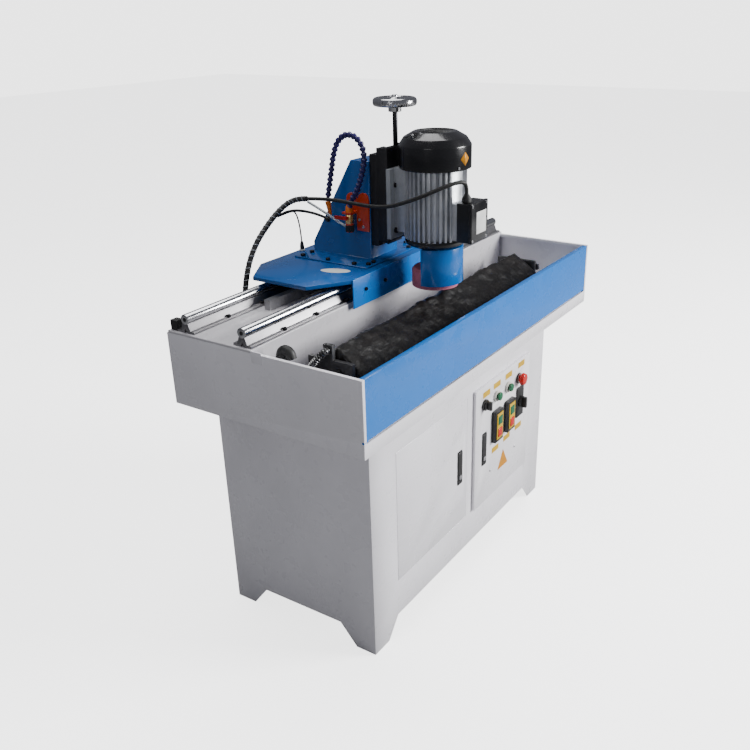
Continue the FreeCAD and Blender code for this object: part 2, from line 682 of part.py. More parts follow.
def saddle():
    """The moving slide, with its dovetail way and the channel of the feed screw."""
    body = new_body("saddle")
    fit = "slide_clearance"
    rear = "saddle_rear"
    nose = f"dovetail_front - {fit}"
    profile = [("-saddle_half", "saddle_front"), ("saddle_half", "saddle_front"),
               ("saddle_half", rear), (f"dovetail_narrow + {fit} * 2", rear),
               (f"dovetail_wide + {fit} * 2", nose), (f"-dovetail_wide - {fit} * 2", nose),
               (f"-dovetail_narrow - {fit} * 2", rear), ("-saddle_half", rear)]
    pad(body, outline(body, "XY_Plane", profile, "saddle_bottom"),
        "saddle_top - saddle_bottom")
    channel = outline(body, "XY_Plane", rectangle("-channel_half", "channel_half",
                                                   "channel_front", "dovetail_front + 2"),
                      "saddle_bottom")
    pocket(body, channel, "channel_top - saddle_bottom", reverse=True)
    bore = circle(body, "XY_Plane", 0, "screw_place", "screw_radius + running_fit")
    pocket(body, bore, "saddle_top + 1", reverse=True)
    place(body, "carriage_place", 0, 0)


def head_plate():
    """The plate that the motor's feet are bolted to."""
    x = "carriage_place"
    part("head_plate",
         block((f"{x} - head_plate_half", f"{x} + head_plate_half"),
               ("head_plate_front", "saddle_front"), ("head_plate_bottom", "head_plate_top")))


def motor_housing():
    """Finned aluminium motor body with its feet and the pad of the terminal box."""
    low, high = size("housing_bottom"), size("housing_top")
    radius = size("housing_radius")
    core = Part.makeCylinder(radius, high - low, V(0, 0, low))
    pieces = []
    count = int(size("fin_count"))
    for k in range(count):
        angle = 360 * k / count
        behind_feet = abs(angle - 90) < 34
        behind_box = abs(angle - 270) < 30
        if behind_feet or behind_box:
            continue
        fin = Part.makeBox(size("fin_radius") - radius + 4, size("fin_thickness"),
                           high - low, V(radius - 4, -size("fin_thickness") / 2, low))
        fin.rotate(V(), Z_AXIS, angle)
        pieces.append(fin)
    reach = size("head_plate_front - motor_place")
    feet = Part.makeBox(100, reach - 60, high - low - 24, V(-50, 60, low + 12))
    box_pad = Part.makeBox(76, 30, 94, V(-38, size("box_rear - motor_place"), low + 4))
    body = core.multiFuse(pieces + [feet, box_pad])
    bore = Part.makeCylinder(size("housing_bore"), high - low + 2, V(0, 0, low - 1))
    shaped("motor_housing", body.cut(bore), "carriage_place", "motor_place")


def fan_cover():
    """A spun cover with a rounded shoulder that hangs over the housing's fins."""
    radius, wall = "cover_radius", "cover_wall"
    low, shoulder, top = "housing_top - cover_overlap", "cover_shoulder", "cover_top"
    profile = [("fin_radius + 0.4", low), (radius, low), (radius, shoulder),
               (f"{radius} - 12", f"{shoulder} + 18"), ("cover_radius * 0.6", top), (0, top),
               (0, f"{top} - {wall}"), ("cover_radius * 0.6", f"{top} - {wall}"),
               (f"{radius} - 13.5", f"{shoulder} + 16"), (f"{radius} - {wall}", shoulder),
               (f"{radius} - {wall}", f"{low} + 12.4"), ("fin_radius + 0.4", f"{low} + 12.4")]
    turned("fan_cover", profile, "carriage_place", "motor_place")


def end_shield():
    """The motor's lower end shield."""
    bore = "shaft_radius + running_fit"
    low, high = "shield_bottom", "housing_bottom"
    profile = [(bore, low), ("shield_radius - 12", low), ("shield_radius", f"{low} + 8"),
               ("shield_radius", high), (bore, high)]
    turned("end_shield", profile, "carriage_place", "motor_place")


def terminal_box():
    """The terminal box with its lid on the motor's front, and the gland on its top."""
    x = "carriage_place"
    half = "box_half"
    base = block((f"{x} - {half}", f"{x} + {half}"), ("box_front + box_lid", "box_rear"),
                 ("box_bottom", "box_bottom + box_height"))
    lid = block((f"{x} - {half} - 1", f"{x} + {half} + 1"),
                ("box_front", "box_front + box_lid"),
                ("box_bottom - 1", "box_bottom + box_height + 1"))
    part("terminal_box", joined(base, lid))
    place_x, place_y = f"{x} + gland_place", "box_rear - 17"
    level = "box_bottom + box_height"
    gland = joined(rod("gland_radius", 8, place_x, place_y, level),
                   cone("gland_radius - 1", "gland_radius - 3", 14, place_x, place_y,
                        f"{level} + 8"))
    part("cable_gland", gland)


def wheel_guard():
    """A half-round skirt round the front of the wheel, closed on top under the motor."""
    radius, wall = size("guard_radius"), size("guard_wall")
    low, high = size("guard_bottom"), size("shield_bottom")
    outer = Part.makeCylinder(radius, high - low, V(0, 0, low))
    inner = Part.makeCylinder(radius - wall, high - low - wall, V(0, 0, low))
    bore = Part.makeCylinder(26, high, V(0, 0, 0))
    rear = Part.makeBox(2 * radius, radius, high - low + 2, V(-radius, 0, low - 1))
    skirt = outer.cut(inner).cut(bore).cut(rear)
    shaped("wheel_guard", skirt, "carriage_place", "motor_place")


def spindle():
    """What turns in the motor: rotor, shaft and fan, the wheel's flange and the wheel."""
    shaft, rotor = "shaft_radius", "rotor_radius"
    low, high = "rotor_bottom", "rotor_bottom + rotor_height"
    fan_low, fan_high = "housing_top + 14", "housing_top + 14 + fan_height"
    profile = [(0, "shaft_bottom"), (shaft, "shaft_bottom"), (shaft, low), (rotor, low),
               (rotor, high), (shaft, high), (shaft, fan_low), ("fan_radius", fan_low),
               ("fan_radius", fan_high), (shaft, fan_high), (shaft, "shaft_top"),
               (0, "shaft_top")]
    turned("rotor_and_fan", profile, "carriage_place", "motor_place")
    top = "wheel_bottom + wheel_height"
    back = f"{top} - wheel_back"
    flange = [(f"{shaft} + press_fit", back), ("wheel_flange_radius - 12", back),
              ("wheel_flange_radius - 12", f"{top} + press_fit"),
              ("wheel_flange_radius", f"{top} + press_fit"),
              ("wheel_flange_radius", f"{top} + 12"), (f"{shaft} + press_fit", f"{top} + 12")]
    turned("wheel_flange", flange, "carriage_place", "motor_place")
    wheel = [("wheel_flange_radius - 11.9", back), ("wheel_radius - wheel_rim", back),
             ("wheel_radius - wheel_rim", "wheel_bottom"), ("wheel_radius", "wheel_bottom"),
             ("wheel_radius", f"{top} - 6"), ("wheel_radius - 6", top),
             ("wheel_flange_radius - 11.9", top)]
    turned("grinding_wheel", wheel, "carriage_place", "motor_place")


def handwheel():
    """The feed screw and the dished handwheel that turns it."""
    shaft = "handwheel_shaft"
    low = "handwheel_bottom"
    radius = "handwheel_radius"
    foot = f"{low} - hub_drop"
    screw = [(0, "screw_bottom"), ("screw_radius", "screw_bottom"),
             ("screw_radius", "saddle_top + 0.1"), (shaft, "saddle_top + 0.1"),
             (shaft, foot), (0, foot)]
    turned("lead_screw", screw, "carriage_place", "screw_place")
    wheel = [(0, foot), ("hub_radius", foot), ("hub_radius", low),
             (f"{radius} - 22", f"{low} + 1"),
             (f"{radius} - 8", f"{low} - 4"), (f"{radius} - 2", f"{low} - 2"),
             (radius, f"{low} + 3"), (radius, f"{low} + 11"), (f"{radius} - 3", f"{low} + 16"),
             (f"{radius} - 9", f"{low} + 18"), (f"{radius} - 16", f"{low} + 14"),
             (22, f"{low} + 10"), (14, f"{low} + 16"), (9, f"{low} + 17"),
             (7, f"{low} + 24"), (0, f"{low} + 24")]
    turned("handwheel", wheel, "carriage_place", "screw_place")


# ---------------------------------------------------------------- magnetic chuck

def chuck():
    """The long magnetic chuck, tilted about its own axis between two brackets."""
    tilt = (X_AXIS, DIMENSIONS["chuck_tilt"])
    half = "chuck_width / 2"
    body = new_body("chuck_body")
    pad(body, outline(body, "YZ_Plane", rectangle(f"-{half}", half, "-chuck_thickness / 2",
                                                  "chuck_thickness / 2 - chuck_face_thickness")),
        "chuck_right - chuck_left")
    pad(body, circle(body, "YZ_Plane", 0, 0, "pivot_radius", "chuck_right - chuck_left"),
        "right_pivot_length")
    pad(body, circle(body, "YZ_Plane", 0, 0, "pivot_radius"), "left_pivot_length",
        reverse=True)
    place(body, "chuck_left", "chuck_place", "chuck_level", tilt)
    face = new_body("chuck_face")
    pad(face, outline(face, "YZ_Plane", rectangle(f"-{half}", half,
                                                  "chuck_thickness / 2 - chuck_face_thickness",
                                                  "chuck_thickness / 2")),
        "chuck_right - chuck_left")
    place(face, "chuck_left", "chuck_place", "chuck_level", tilt)


def chuck_brackets():
    """Upright plates on the trough's floor that the chuck's pivots turn in."""
    plates = []
    for low in ("chuck_left - bracket_gap - bracket_thickness", "chuck_right + bracket_gap"):
        plate = block((low, f"{low} + bracket_thickness"),
                      ("chuck_place - bracket_front", "chuck_place + bracket_rear"),
                      ("cabinet_height + sheet", "chuck_level + 30"))
        hole = rod("pivot_radius + running_fit", "bracket_thickness + 4", f"{low} - 2",
                   "chuck_place", "chuck_level", (Y_AXIS, 90))
        plates.append(without(plate, hole))
    clamp = block(("chuck_left - bracket_gap - bracket_thickness", "chuck_left - bracket_gap"),
                  ("chuck_place + 16", "chuck_place + 42"), ("chuck_level", "chuck_level + 66"))
    plates[0] = joined(plates[0], clamp)
    part("chuck_brackets", together(*plates))


def chuck_lock():
    """The clamping knob on the end of the right pivot."""
    start = "chuck_right + right_pivot_length"
    hub = rod("knob_radius", "knob_length", start, "chuck_place", "chuck_level",
              (Y_AXIS, 90))
    bar = block((f"{start} + 10", f"{start} + 24"),
                ("chuck_place - knob_half", "chuck_place + knob_half"),
                ("chuck_level - 8", "chuck_level + 8"))
    part("chuck_lock_knob", joined(hub, bar))


# ---------------------------------------------------------------- control panel

def button(x, length, *heads):
    """A round stem that passes through the door, with the heads it carries."""
    front = "cabinet_front - right_door_proud"
    stem = rod("button_radius", length, x, f"{front} + 20", "button_row", (X_AXIS, 90))
    return joined(stem, *heads) if heads else stem


def button_collars():
    """The chromed collars and threaded barrels of the four upper controls."""
    front = "cabinet_front - right_door_proud"
    collars = []
    for i in range(4):
        x = f"button_first + {i} * button_spacing"
        ring = rod("collar_radius", "collar_height", x, front, "button_row", (X_AXIS, 90))
        barrel = rod("barrel_radius", 40, x, f"{front} + 38", "button_row", (X_AXIS, 90))
        bore = rod("button_radius + 0.1", 60, x, f"{front} + 40", "button_row", (X_AXIS, 90))
        collars.append(without(joined(ring, barrel), bore))
    part("button_collars", together(*collars))


def upper_controls():
    """The selector, the two green buttons and the mushroom button."""
    front = "cabinet_front - right_door_proud"
    x = "button_first"
    skirt = rod(13, 7, x, f"{front} - collar_height - 0.3", "button_row", (X_AXIS, 90))
    grip = block((f"{x} - 4", f"{x} + 4"), (f"{front} - 24", f"{front} - 12"),
                 ("button_row - 13", "button_row + 13"))
    part("selector_knob", button(x, 30, skirt, grip))
    for number, name in ((1, "green_button_left"), (2, "green_button_right")):
        part(name, button(f"button_first + {number} * button_spacing", 30))
    x = "button_first + 3 * button_spacing"
    mushroom = cone(20, 17, 12, x, f"{front} - 12", "button_row", (X_AXIS, 90))
    part("emergency_button", button(x, 32, mushroom))


def start_stop_keys():
    front = "cabinet_front - right_door_proud - switch_box_depth"
    for x, side in (("switch_box_first", "left"), ("switch_box_second", "right")):
        for name in ("start", "stop"):
            low = f"switch_box_level + {name}_level"
            part(f"{name}_button_{side}",
                 block((f"{x} - key_half", f"{x} + key_half"), (f"{front} - 4", f"{front} + 8"),
                       (low, f"{low} + key_height")))


def cam_switch():
    """The cam switch's knob, and its plate with both start/stop boxes."""
    front = "cabinet_front - right_door_proud"
    plate = block(("cam_plate_left", "cam_plate_left + cam_plate_width"),
                  (f"{front} - cam_plate_thickness", front),
                  ("cam_plate_bottom", "cam_plate_bottom + cam_plate_height"))
    x = "cam_plate_left + cam_plate_width / 2"
    level = "cam_plate_bottom + cam_plate_height / 2"
    hole = rod("6 + running_fit", 4, x, f"{front} - 2", level, (X_AXIS, 90))
    part("panel_switch_cases", together(without(plate, hole), switch_box("switch_box_first"),
                                        switch_box("switch_box_second")))
    part("cam_switch_knob",
         joined(rod(6, 6, x, f"{front} - 2", level, (X_AXIS, 90)),
                rod(17, 8, x, f"{front} - 5.3", level, (X_AXIS, 90)),
                block((f"{x} - 5", f"{x} + 5"), (f"{front} - 26", f"{front} - 13"),
                      (f"{level} - 17", f"{level} + 17"))))


def switch_box(x):
    """A start/stop box with two wells for its keys."""
    front = "cabinet_front - right_door_proud"
    case = block((f"{x} - switch_box_width / 2", f"{x} + switch_box_width / 2"),
                 (f"{front} - switch_box_depth", front),
                 ("switch_box_level", "switch_box_level + switch_box_height"))
    wells = [block((f"{x} - key_half - key_gap", f"{x} + key_half + key_gap"),
                   (f"{front} - switch_box_depth - 1", f"{front} - 2"),
                   (f"switch_box_level + {low} - key_gap",
                    f"switch_box_level + {low} + key_height + key_gap"))
             for low in ("start_level", "stop_level")]
    return without(case, *wells)


# ---------------------------------------------------------------- coolant

def coolant_set():
    """The open coolant tank in the cabinet and the pump that hangs in it."""
    x, y, z = "tank_left", "tank_front", "tank_bottom"
    outer = block((x, f"{x} + tank_length"), (y, f"{y} + tank_depth"), (z, f"{z} + tank_height"))
    hollow = block((f"{x} + tank_wall", f"{x} + tank_length - tank_wall"),
                   (f"{y} + tank_wall", f"{y} + tank_depth - tank_wall"),
                   (f"{z} + tank_wall", f"{z} + tank_height + 1"))
    part("coolant_tank", without(outer, hollow))
    centre = f"{x} + 80"
    deep = f"{y} + 150"
    pump = joined(rod("pump_inlet_radius", 90, centre, deep, f"{z} + 20"),
                  rod("pump_neck_radius", 112, centre, deep, f"{z} + 108"),
                  rod("pump_motor_radius", "pump_motor_height", centre, deep, f"{z} + 218"),
                  block((f"{centre} - 60", f"{centre} + 60"), (y, f"{y} + tank_depth"),
                        (f"{z} + tank_height", f"{z} + tank_height + 6")))
    part("coolant_pump", pump)


def coolant_tap():
    """The tap on its two-lobed plate, on the column's left face."""
    wall = "carriage_place - column_half"
    skin = (f"{wall} - tap_plate", wall)
    lobes = [rod("tap_lobe_radius", "tap_plate", skin[0], y, z, (Y_AXIS, 90))
             for y, z in ((110, 1084), (72, 1086))]
    plate = joined(block(skin, (55, 94), (1000, 1050)), block(skin, (55, 126), (1046, 1086)),
                   *lobes)
    arm = block((f"{wall} - 36", f"{wall} - 5"), (92, 120), (1048, 1053))
    x, y, z = f"{wall} - tap_reach", "tap_place", "tap_level"
    valve = joined(rod(8, 12, x, y, f"{z} + 12"), rod(10, 32, x, y, f"{z} - 18"),
                   rod(11, 20, x, y, f"{z} - 38"))
    part("coolant_tap", joined(plate, arm, valve))
    stem = f"{wall} - tap_stem_reach"
    part("tap_lever",
         joined(rod(4, 8, stem, y, z, (Y_AXIS, -90)),
                block((f"{stem} - 8", f"{stem} - 4"), (f"{y} - 4", f"{y} + 37"),
                      (f"{z} - 4.5", f"{z} + 4.5"))))


ROUTES = {
    # name: (radius, points by hand in millimetres)
    "coolant_hose": (8.5, [(-95, 104, 1062), (-95, 95, 1085), (-95, 76, 1110),
                           (-95, 62, 1145), (-95, 50, 1185), (-95, 51, 1222),
                           (-95, 74, 1250), (-95, 108, 1254), (-95, 135, 1232),
                           (-95, 149, 1195), (-95, 157, 1158), (-95, 166, 1118),
                           (-95, 173, 1085)]),
    "motor_cable": (5, [(-28, -214, 1119), (-28, -214, 1137), (-44, -213, 1153),
                        (-78, -190, 1147), (-106, -148, 1126), (-119, -98, 1105),
                        (-123, -45, 1087), (-121, 10, 1081), (-119, 68, 1083),
                        (-119, 124, 1086), (-124, 176, 1086), (-130, 217.5, 1083)]),
    "cable_bundle": (8.5, [(-130, 218, 1083), (-134, 246, 1081), (-152, 267, 1071),
                           (-187, 277, 1050), (-225, 281, 1023), (-262, 284, 992),
                           (-292, 286, 955), (-313, 287, 912), (-326, 287, 866),
                           (-331, 287, 815), (-331, 287, 760), (-330, 287, 706),
                           (-330, 287, 652)]),
    "water_hose": (3.5, [(-104, 236, 1068), (-107, 206, 1058), (-107, 180, 1047),
                         (-105, 153, 1034), (-97, 130, 1018), (-95, 115.5, 1012)]),
    "chuck_conduit": (9, [(-477, -100, 829), (-492, -100, 829), (-504, -91, 816),
                          (-507, -77, 799), (-505, -60, 779), (-500, -40, 761),
                          (-495, -16, 750), (-495, 5, 750)]),
}

SWAN_NECK = (12.5, [(-566, -36, 666), (-566, -36, 832), (-566, -41, 846), (-566, -52, 851),
                    (-566, -63, 846), (-566, -67, 832)])


def tube(radius, points):
    """A tube along straight runs joined by tangent arcs, as large as the runs allow."""
    corners = [V(*p) for p in points]
    edges = []
    at = corners[0]
    radii = []
    for before, corner, after in zip(corners, corners[1:], corners[2:]):
        into = (corner - before).normalize()
        out = (after - corner).normalize()
        half_turn = into.getAngle(out) / 2
        reach = 0.45 * min((corner - before).Length, (after - corner).Length)
        radii.append(round(reach / math.tan(half_turn), 1))
        start, end = corner - into * reach, corner + out * reach
        bulge = (out - into).normalize() * (radii[-1] / math.cos(half_turn) - radii[-1])
        edges.append(Part.LineSegment(at, start).toShape())
        edges.append(Part.Arc(start, corner + bulge, end).toShape())
        at = end
    edges.append(Part.LineSegment(at, corners[-1]).toShape())
    path = Part.Wire(edges)
    first = corners[1] - corners[0]
    circle = Part.Wire(Part.Circle(corners[0], first, radius).toShape())
    solid = path.makePipeShell([circle], True, False)
    ratio = solid.Volume / (math.pi * radius ** 2 * path.Length)
    return solid, radii, path.Length, ratio


def cords():
    """The hoses and cables, and the nozzle on the coolant hose's end."""
    for name, (radius, points) in ROUTES.items():
        solid, radii, length, ratio = tube(radius, points)
        print(f"{name}: length {length:.1f}, volume ratio {ratio:.4f}, radii {radii}")
        shaped(name, solid)
    part("coolant_nozzle", cone(8, 4, 40, -95, 174, 1074, (X_AXIS, 170)))


def cable_fittings():
    """The cable bundle's way into the cabinet's back, the mains gland and the swan neck."""
    x, y, z = "bundle_place", "bundle_line", "bundle_level"
    bundle = joined(block((f"{x} - 16", f"{x} + 16"), ("cabinet_rear", f"{y} + 13"),
                          (f"{z} - 32", z)),
                    rod(13, 19.5, x, y, z))
    x, y, z = "mains_place", "cabinet_rear + 6", "mains_level"
    mains = joined(rod(17, 6, x, y, z, (X_AXIS, 90)), cone(14, 10, 20, x, y, z, (X_AXIS, -90)))
    neck = doc.addObject("Part::Feature", "swan_neck")
    neck.Shape = tube(*SWAN_NECK)[0]
    part("cable_fittings", together(bundle, mains, neck))


def check_and_export():
    """Stops at any failed object, then writes each sub-part to its own file."""
    doc.recompute()
    for item in doc.Objects:
        if "Invalid" in item.State or "Error" in item.State:
            raise ValueError(f"{item.Label} ({item.TypeId}) failed: {item.State}")
    os.makedirs("parts", exist_ok=True)
    for item in PARTS:
        shape = item.Shape
        if shape.isNull() or not shape.isValid():
            raise ValueError(f"{item.Label} has no valid shape")
        shape.exportStep(f"parts/{item.Label}.step")
    print(f"{len(PARTS)} sub-parts written")


def main():
    make_sheet()
    cabinet()
    door_left()
    door_right()
    latch_paddles()
    tray()
    front_flap()
    rail_platform()
    rails()
    rail_bolts()
    end_stops()
    pinion()
    rack()
    carriage_plate()
    apron()
    bearing_blocks()
    column()
    column_bolts()
    dovetail_base()
    travel_motor()
    saddle()
    head_plate()
    motor_housing()
    fan_cover()
    end_shield()
    terminal_box()
    wheel_guard()
    spindle()
    handwheel()
    chuck()
    chuck_brackets()
    chuck_lock()
    button_collars()
    upper_controls()
    start_stop_keys()
    cam_switch()
    coolant_set()
    coolant_tap()
    cords()
    cable_fittings()
    check_and_export()


main()
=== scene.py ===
import bpy
import json
import math
from mathutils import Euler, Matrix, Vector


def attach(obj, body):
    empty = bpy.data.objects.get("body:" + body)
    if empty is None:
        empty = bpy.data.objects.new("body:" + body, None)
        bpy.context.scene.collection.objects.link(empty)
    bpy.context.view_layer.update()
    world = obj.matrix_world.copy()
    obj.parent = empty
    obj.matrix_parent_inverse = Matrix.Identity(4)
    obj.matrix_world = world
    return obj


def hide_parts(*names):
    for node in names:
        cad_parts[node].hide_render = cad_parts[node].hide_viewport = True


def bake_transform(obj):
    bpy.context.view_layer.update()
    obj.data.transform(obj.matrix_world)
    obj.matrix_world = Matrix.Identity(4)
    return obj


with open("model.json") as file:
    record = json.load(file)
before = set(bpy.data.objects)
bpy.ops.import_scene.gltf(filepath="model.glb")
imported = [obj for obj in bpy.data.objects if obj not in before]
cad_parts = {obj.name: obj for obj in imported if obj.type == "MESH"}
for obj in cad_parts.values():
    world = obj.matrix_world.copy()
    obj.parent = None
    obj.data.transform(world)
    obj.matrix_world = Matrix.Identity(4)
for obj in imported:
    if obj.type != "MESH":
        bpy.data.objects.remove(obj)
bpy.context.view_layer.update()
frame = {"record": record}

MM = 0.001
ROOM_LIGHT = 0.2
BACKDROP_LIGHT = 4.0

# places on the machine, in millimetres
MOTOR = (-6, -109)
SENSOR = (-82, 285)
TAP = (-95, 104)
DOOR_FACE = -228
BUTTON_LEVEL = 497
BUTTONS = {"selector": 72, "green_left": 146.5, "green_right": 221, "emergency": 295.5}

# ------------------------------------------------------------ workbench


def point(x, y, z):
    """A place given in millimetres."""
    return (x * MM, y * MM, z * MM)


def metres(place):
    """A place given in millimetres, as a list in metres."""
    return [c * MM for c in place]


def let_go():
    """Nothing stays selected."""
    if bpy.context.object and bpy.context.object.mode != "OBJECT":
        bpy.ops.object.mode_set(mode="OBJECT")
    bpy.ops.object.select_all(action="DESELECT")


def take(*things):
    """Selects these objects, the last one active."""
    let_go()
    for thing in things:
        thing.select_set(True)
    bpy.context.view_layer.objects.active = things[-1]


def settle(thing, name):
    """Puts the piece's place into its mesh and gives it its name."""
    take(thing)
    bpy.ops.object.transform_apply(location=True, rotation=True, scale=True)
    thing.name = name
    thing.data.name = name
    return thing


def edit(thing, mode="FACE"):
    """Opens the piece in edit mode with nothing selected."""
    take(thing)
    bpy.ops.object.mode_set(mode="EDIT")
    bpy.ops.mesh.select_mode(type=mode)
    bpy.ops.mesh.select_all(action="DESELECT")


def done():
    """Closes edit mode."""
    bpy.ops.object.mode_set(mode="OBJECT")


def apply_modifier(thing, kind, **settings):
    """Adds a modifier and applies it at once."""
    take(thing)
    modifier = thing.modifiers.new(kind.title(), kind)
    for key, value in settings.items():
        setattr(modifier, key, value)
    bpy.ops.object.modifier_apply(modifier=modifier.name)


def soften(thing, width, segments=2, angle=32):
    """Rounds the edges over and shades the faces between them smooth."""
    if width:
        apply_modifier(thing, "BEVEL", width=width, segments=segments, limit_method="ANGLE",
                       angle_limit=math.radians(angle), harden_normals=False)
    take(thing)
    bpy.ops.object.shade_smooth_by_angle(angle=math.radians(angle + 6))
    return thing


def bar(name, low, high, width=0.0006, segments=2):
    """A rounded block between two corners."""
    middle = [(a + b) / 2 for a, b in zip(low, high)]
    let_go()
    bpy.ops.mesh.primitive_cube_add(size=1, location=middle)
    thing = bpy.context.object
    thing.scale = [b - a for a, b in zip(low, high)]
    settle(thing, name)
    return soften(thing, width, segments)


AXES = {"X": (0, math.pi / 2, 0), "-X": (0, -math.pi / 2, 0), "Y": (-math.pi / 2, 0, 0),
        "-Y": (math.pi / 2, 0, 0), "Z": (0, 0, 0), "-Z": (math.pi, 0, 0)}


def turned(name, rings, at, axis="Z", sides=64, width=0.0):
    """A turned piece: rings of (radius, distance along the axis) from its foot to its top."""
    let_go()
    first, start = rings[0]
    bpy.ops.mesh.primitive_circle_add(radius=first, vertices=sides, fill_type="NGON",
                                      location=(0, 0, start))
    thing = bpy.context.object
    settle(thing, name)
    edit(thing, "EDGE")
    bpy.ops.mesh.select_all(action="SELECT")
    radius, level = first, start
    for next_radius, next_level in rings[1:]:
        bpy.ops.mesh.extrude_edges_move(
            TRANSFORM_OT_translate={"value": (0, 0, next_level - level)})
        ratio = next_radius / radius
        if abs(ratio - 1) > 1e-6:
            bpy.ops.transform.resize(value=(ratio, ratio, 1),
                                     center_override=(0, 0, next_level))
        radius, level = next_radius, next_level
    bpy.ops.mesh.edge_face_add()
    bpy.ops.mesh.select_all(action="SELECT")
    bpy.ops.mesh.normals_make_consistent(inside=False)
    done()
    thing.rotation_euler = AXES[axis]
    thing.location = at
    settle(thing, name)
    return soften(thing, width)


def rod(name, radius, start, length, axis="Z", sides=48, width=0.0005):
    """A plain round bar with eased edges."""
    return turned(name, [(radius, 0), (radius, length)], start, axis, sides, width)


def ring(name, outer, inner, start, length, axis="Z", sides=64, width=0.0004):
    """A sleeve: a rod with a hole bored through it."""
    sleeve = rod(name, outer, start, length, axis, sides, 0)
    direction = Euler(AXES[axis]).to_matrix() @ Vector((0, 0, 1))
    drill = rod("drill", inner, Vector(start) - direction * length, length * 3, axis, sides, 0)
    cut(sleeve, drill)
    return soften(sleeve, width)


def cut(thing, *tools):
    """Takes the tools' shapes out of the piece and puts the tools away."""
    for tool in tools:
        apply_modifier(thing, "BOOLEAN", operation="DIFFERENCE", object=tool, solver="EXACT")
        bpy.data.objects.remove(tool, do_unlink=True)
    return thing


def weld(name, *things):
    """Joins the pieces into one, each part of it keeping its finish."""
    take(*things)
    if len(things) > 1:
        bpy.ops.object.join()
    thing = bpy.context.view_layer.objects.active
    thing.name = name
    thing.data.name = name
    return thing


def copy_to(thing, shift, name=None):
    """A copy with its own mesh, moved by the shift."""
    take(thing)
    bpy.ops.object.duplicate()
    twin = bpy.context.object
    twin.location = shift
    return settle(twin, name or thing.name)


BODY_OF = {node: body for body, nodes in frame["record"]["behaviour"]["bodies"].items()
           for node in nodes}


def dress(node, finish, width, angle=32):
    """A rounded-over piece with the outline of the frame's own part, in its finish."""
    take(bpy.data.objects[node])
    bpy.ops.object.duplicate()
    piece = bpy.context.object
    piece.name = f"{node}_finished"
    piece.data.name = piece.name
    edit(piece, "VERT")
    bpy.ops.mesh.select_all(action="SELECT")
    bpy.ops.mesh.remove_doubles(threshold=1e-5)
    bpy.ops.mesh.dissolve_limited(angle_limit=math.radians(0.5))
    done()
    soften(piece, width, 2, angle)
    fit(piece, finish, BODY_OF[node])
    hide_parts(node)


def paint_all(piece, finish):
    """Gives the whole piece one finish."""
    piece.data.materials.clear()
    piece.data.materials.append(finish)
    return piece


def fit(piece, finish, body):
    """Ends a piece: its finish and the body it rides on."""
    paint_all(piece, finish)
    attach(piece, body)
    return piece


# ------------------------------------------------------------ finishes


class Finish:
    """A node material in the making, on the piece's own coordinates."""

    def __init__(self, name, colour, roughness, metallic=0.0, **sockets):
        self.material = bpy.data.materials.new(name)
        self.material.use_nodes = True
        self.tree = self.material.node_tree
        self.shader = self.tree.nodes["Principled BSDF"]
        self.set("Base Color", (*colour, 1))
        self.set("Roughness", roughness)
        self.set("Metallic", metallic)
        for key, value in sockets.items():
            self.set(key.replace("_", " "), value)
        self.coords = self.add("ShaderNodeTexCoord").outputs["Object"]
        self.height = None

    def set(self, socket, value):
        """Sets one of the shader's own sockets."""
        self.shader.inputs[socket].default_value = value

    def add(self, kind, **settings):
        """A new node with these settings."""
        node = self.tree.nodes.new(kind)
        for key, value in settings.items():
            setattr(node, key, value)
        return node

    def link(self, start, end):
        """Joins an output to an input."""
        self.tree.links.new(start, end)

    def noise(self, scale, detail=4, stretch=None, rough=0.6):
        """A noise whose grain is about 1/scale metres, drawn out along the stretch."""
        node = self.add("ShaderNodeTexNoise")
        node.inputs["Scale"].default_value = scale
        node.inputs["Detail"].default_value = detail
        node.inputs["Roughness"].default_value = rough
        if stretch:
            mapping = self.add("ShaderNodeMapping")
            mapping.inputs["Scale"].default_value = stretch
            self.link(self.coords, mapping.inputs["Vector"])
            self.link(mapping.outputs["Vector"], node.inputs["Vector"])
        else:
            self.link(self.coords, node.inputs["Vector"])
        return node.outputs["Fac"]

    def colours(self, source, *stops):
        """Colours along a ramp: (place, (r, g, b)) each."""
        ramp = self.add("ShaderNodeValToRGB")
        ramp.color_ramp.elements[0].position = stops[0][0]
        ramp.color_ramp.elements[0].color = (*stops[0][1], 1)
        ramp.color_ramp.elements[1].position = stops[-1][0]
        ramp.color_ramp.elements[1].color = (*stops[-1][1], 1)
        for place, colour in stops[1:-1]:
            ramp.color_ramp.elements.new(place).color = (*colour, 1)
        self.link(source, ramp.inputs["Fac"])
        self.link(ramp.outputs["Color"], self.shader.inputs["Base Color"])
        return self

    def gloss(self, source, low, high):
        """Roughness from low to high over the middle of the source's range."""
        node = self.add("ShaderNodeMapRange")
        node.inputs["From Min"].default_value = 0.3
        node.inputs["From Max"].default_value = 0.7
        node.inputs["To Min"].default_value = low
        node.inputs["To Max"].default_value = high
        self.link(source, node.inputs["Value"])
        self.link(node.outputs["Result"], self.shader.inputs["Roughness"])
        return self

    def relief(self, source, depth, strength=0.5):
        """Bumps of about that depth in metres."""
        node = self.add("ShaderNodeBump")
        node.inputs["Strength"].default_value = strength
        node.inputs["Distance"].default_value = depth
        self.link(source, node.inputs["Height"])
        if self.height:
            self.link(self.height, node.inputs["Normal"])
        self.height = node.outputs["Normal"]
        self.link(self.height, self.shader.inputs["Normal"])
        return self


def shade(colour, factor):
    """The colour made darker or lighter."""
    return tuple(min(1.0, c * factor) for c in colour)


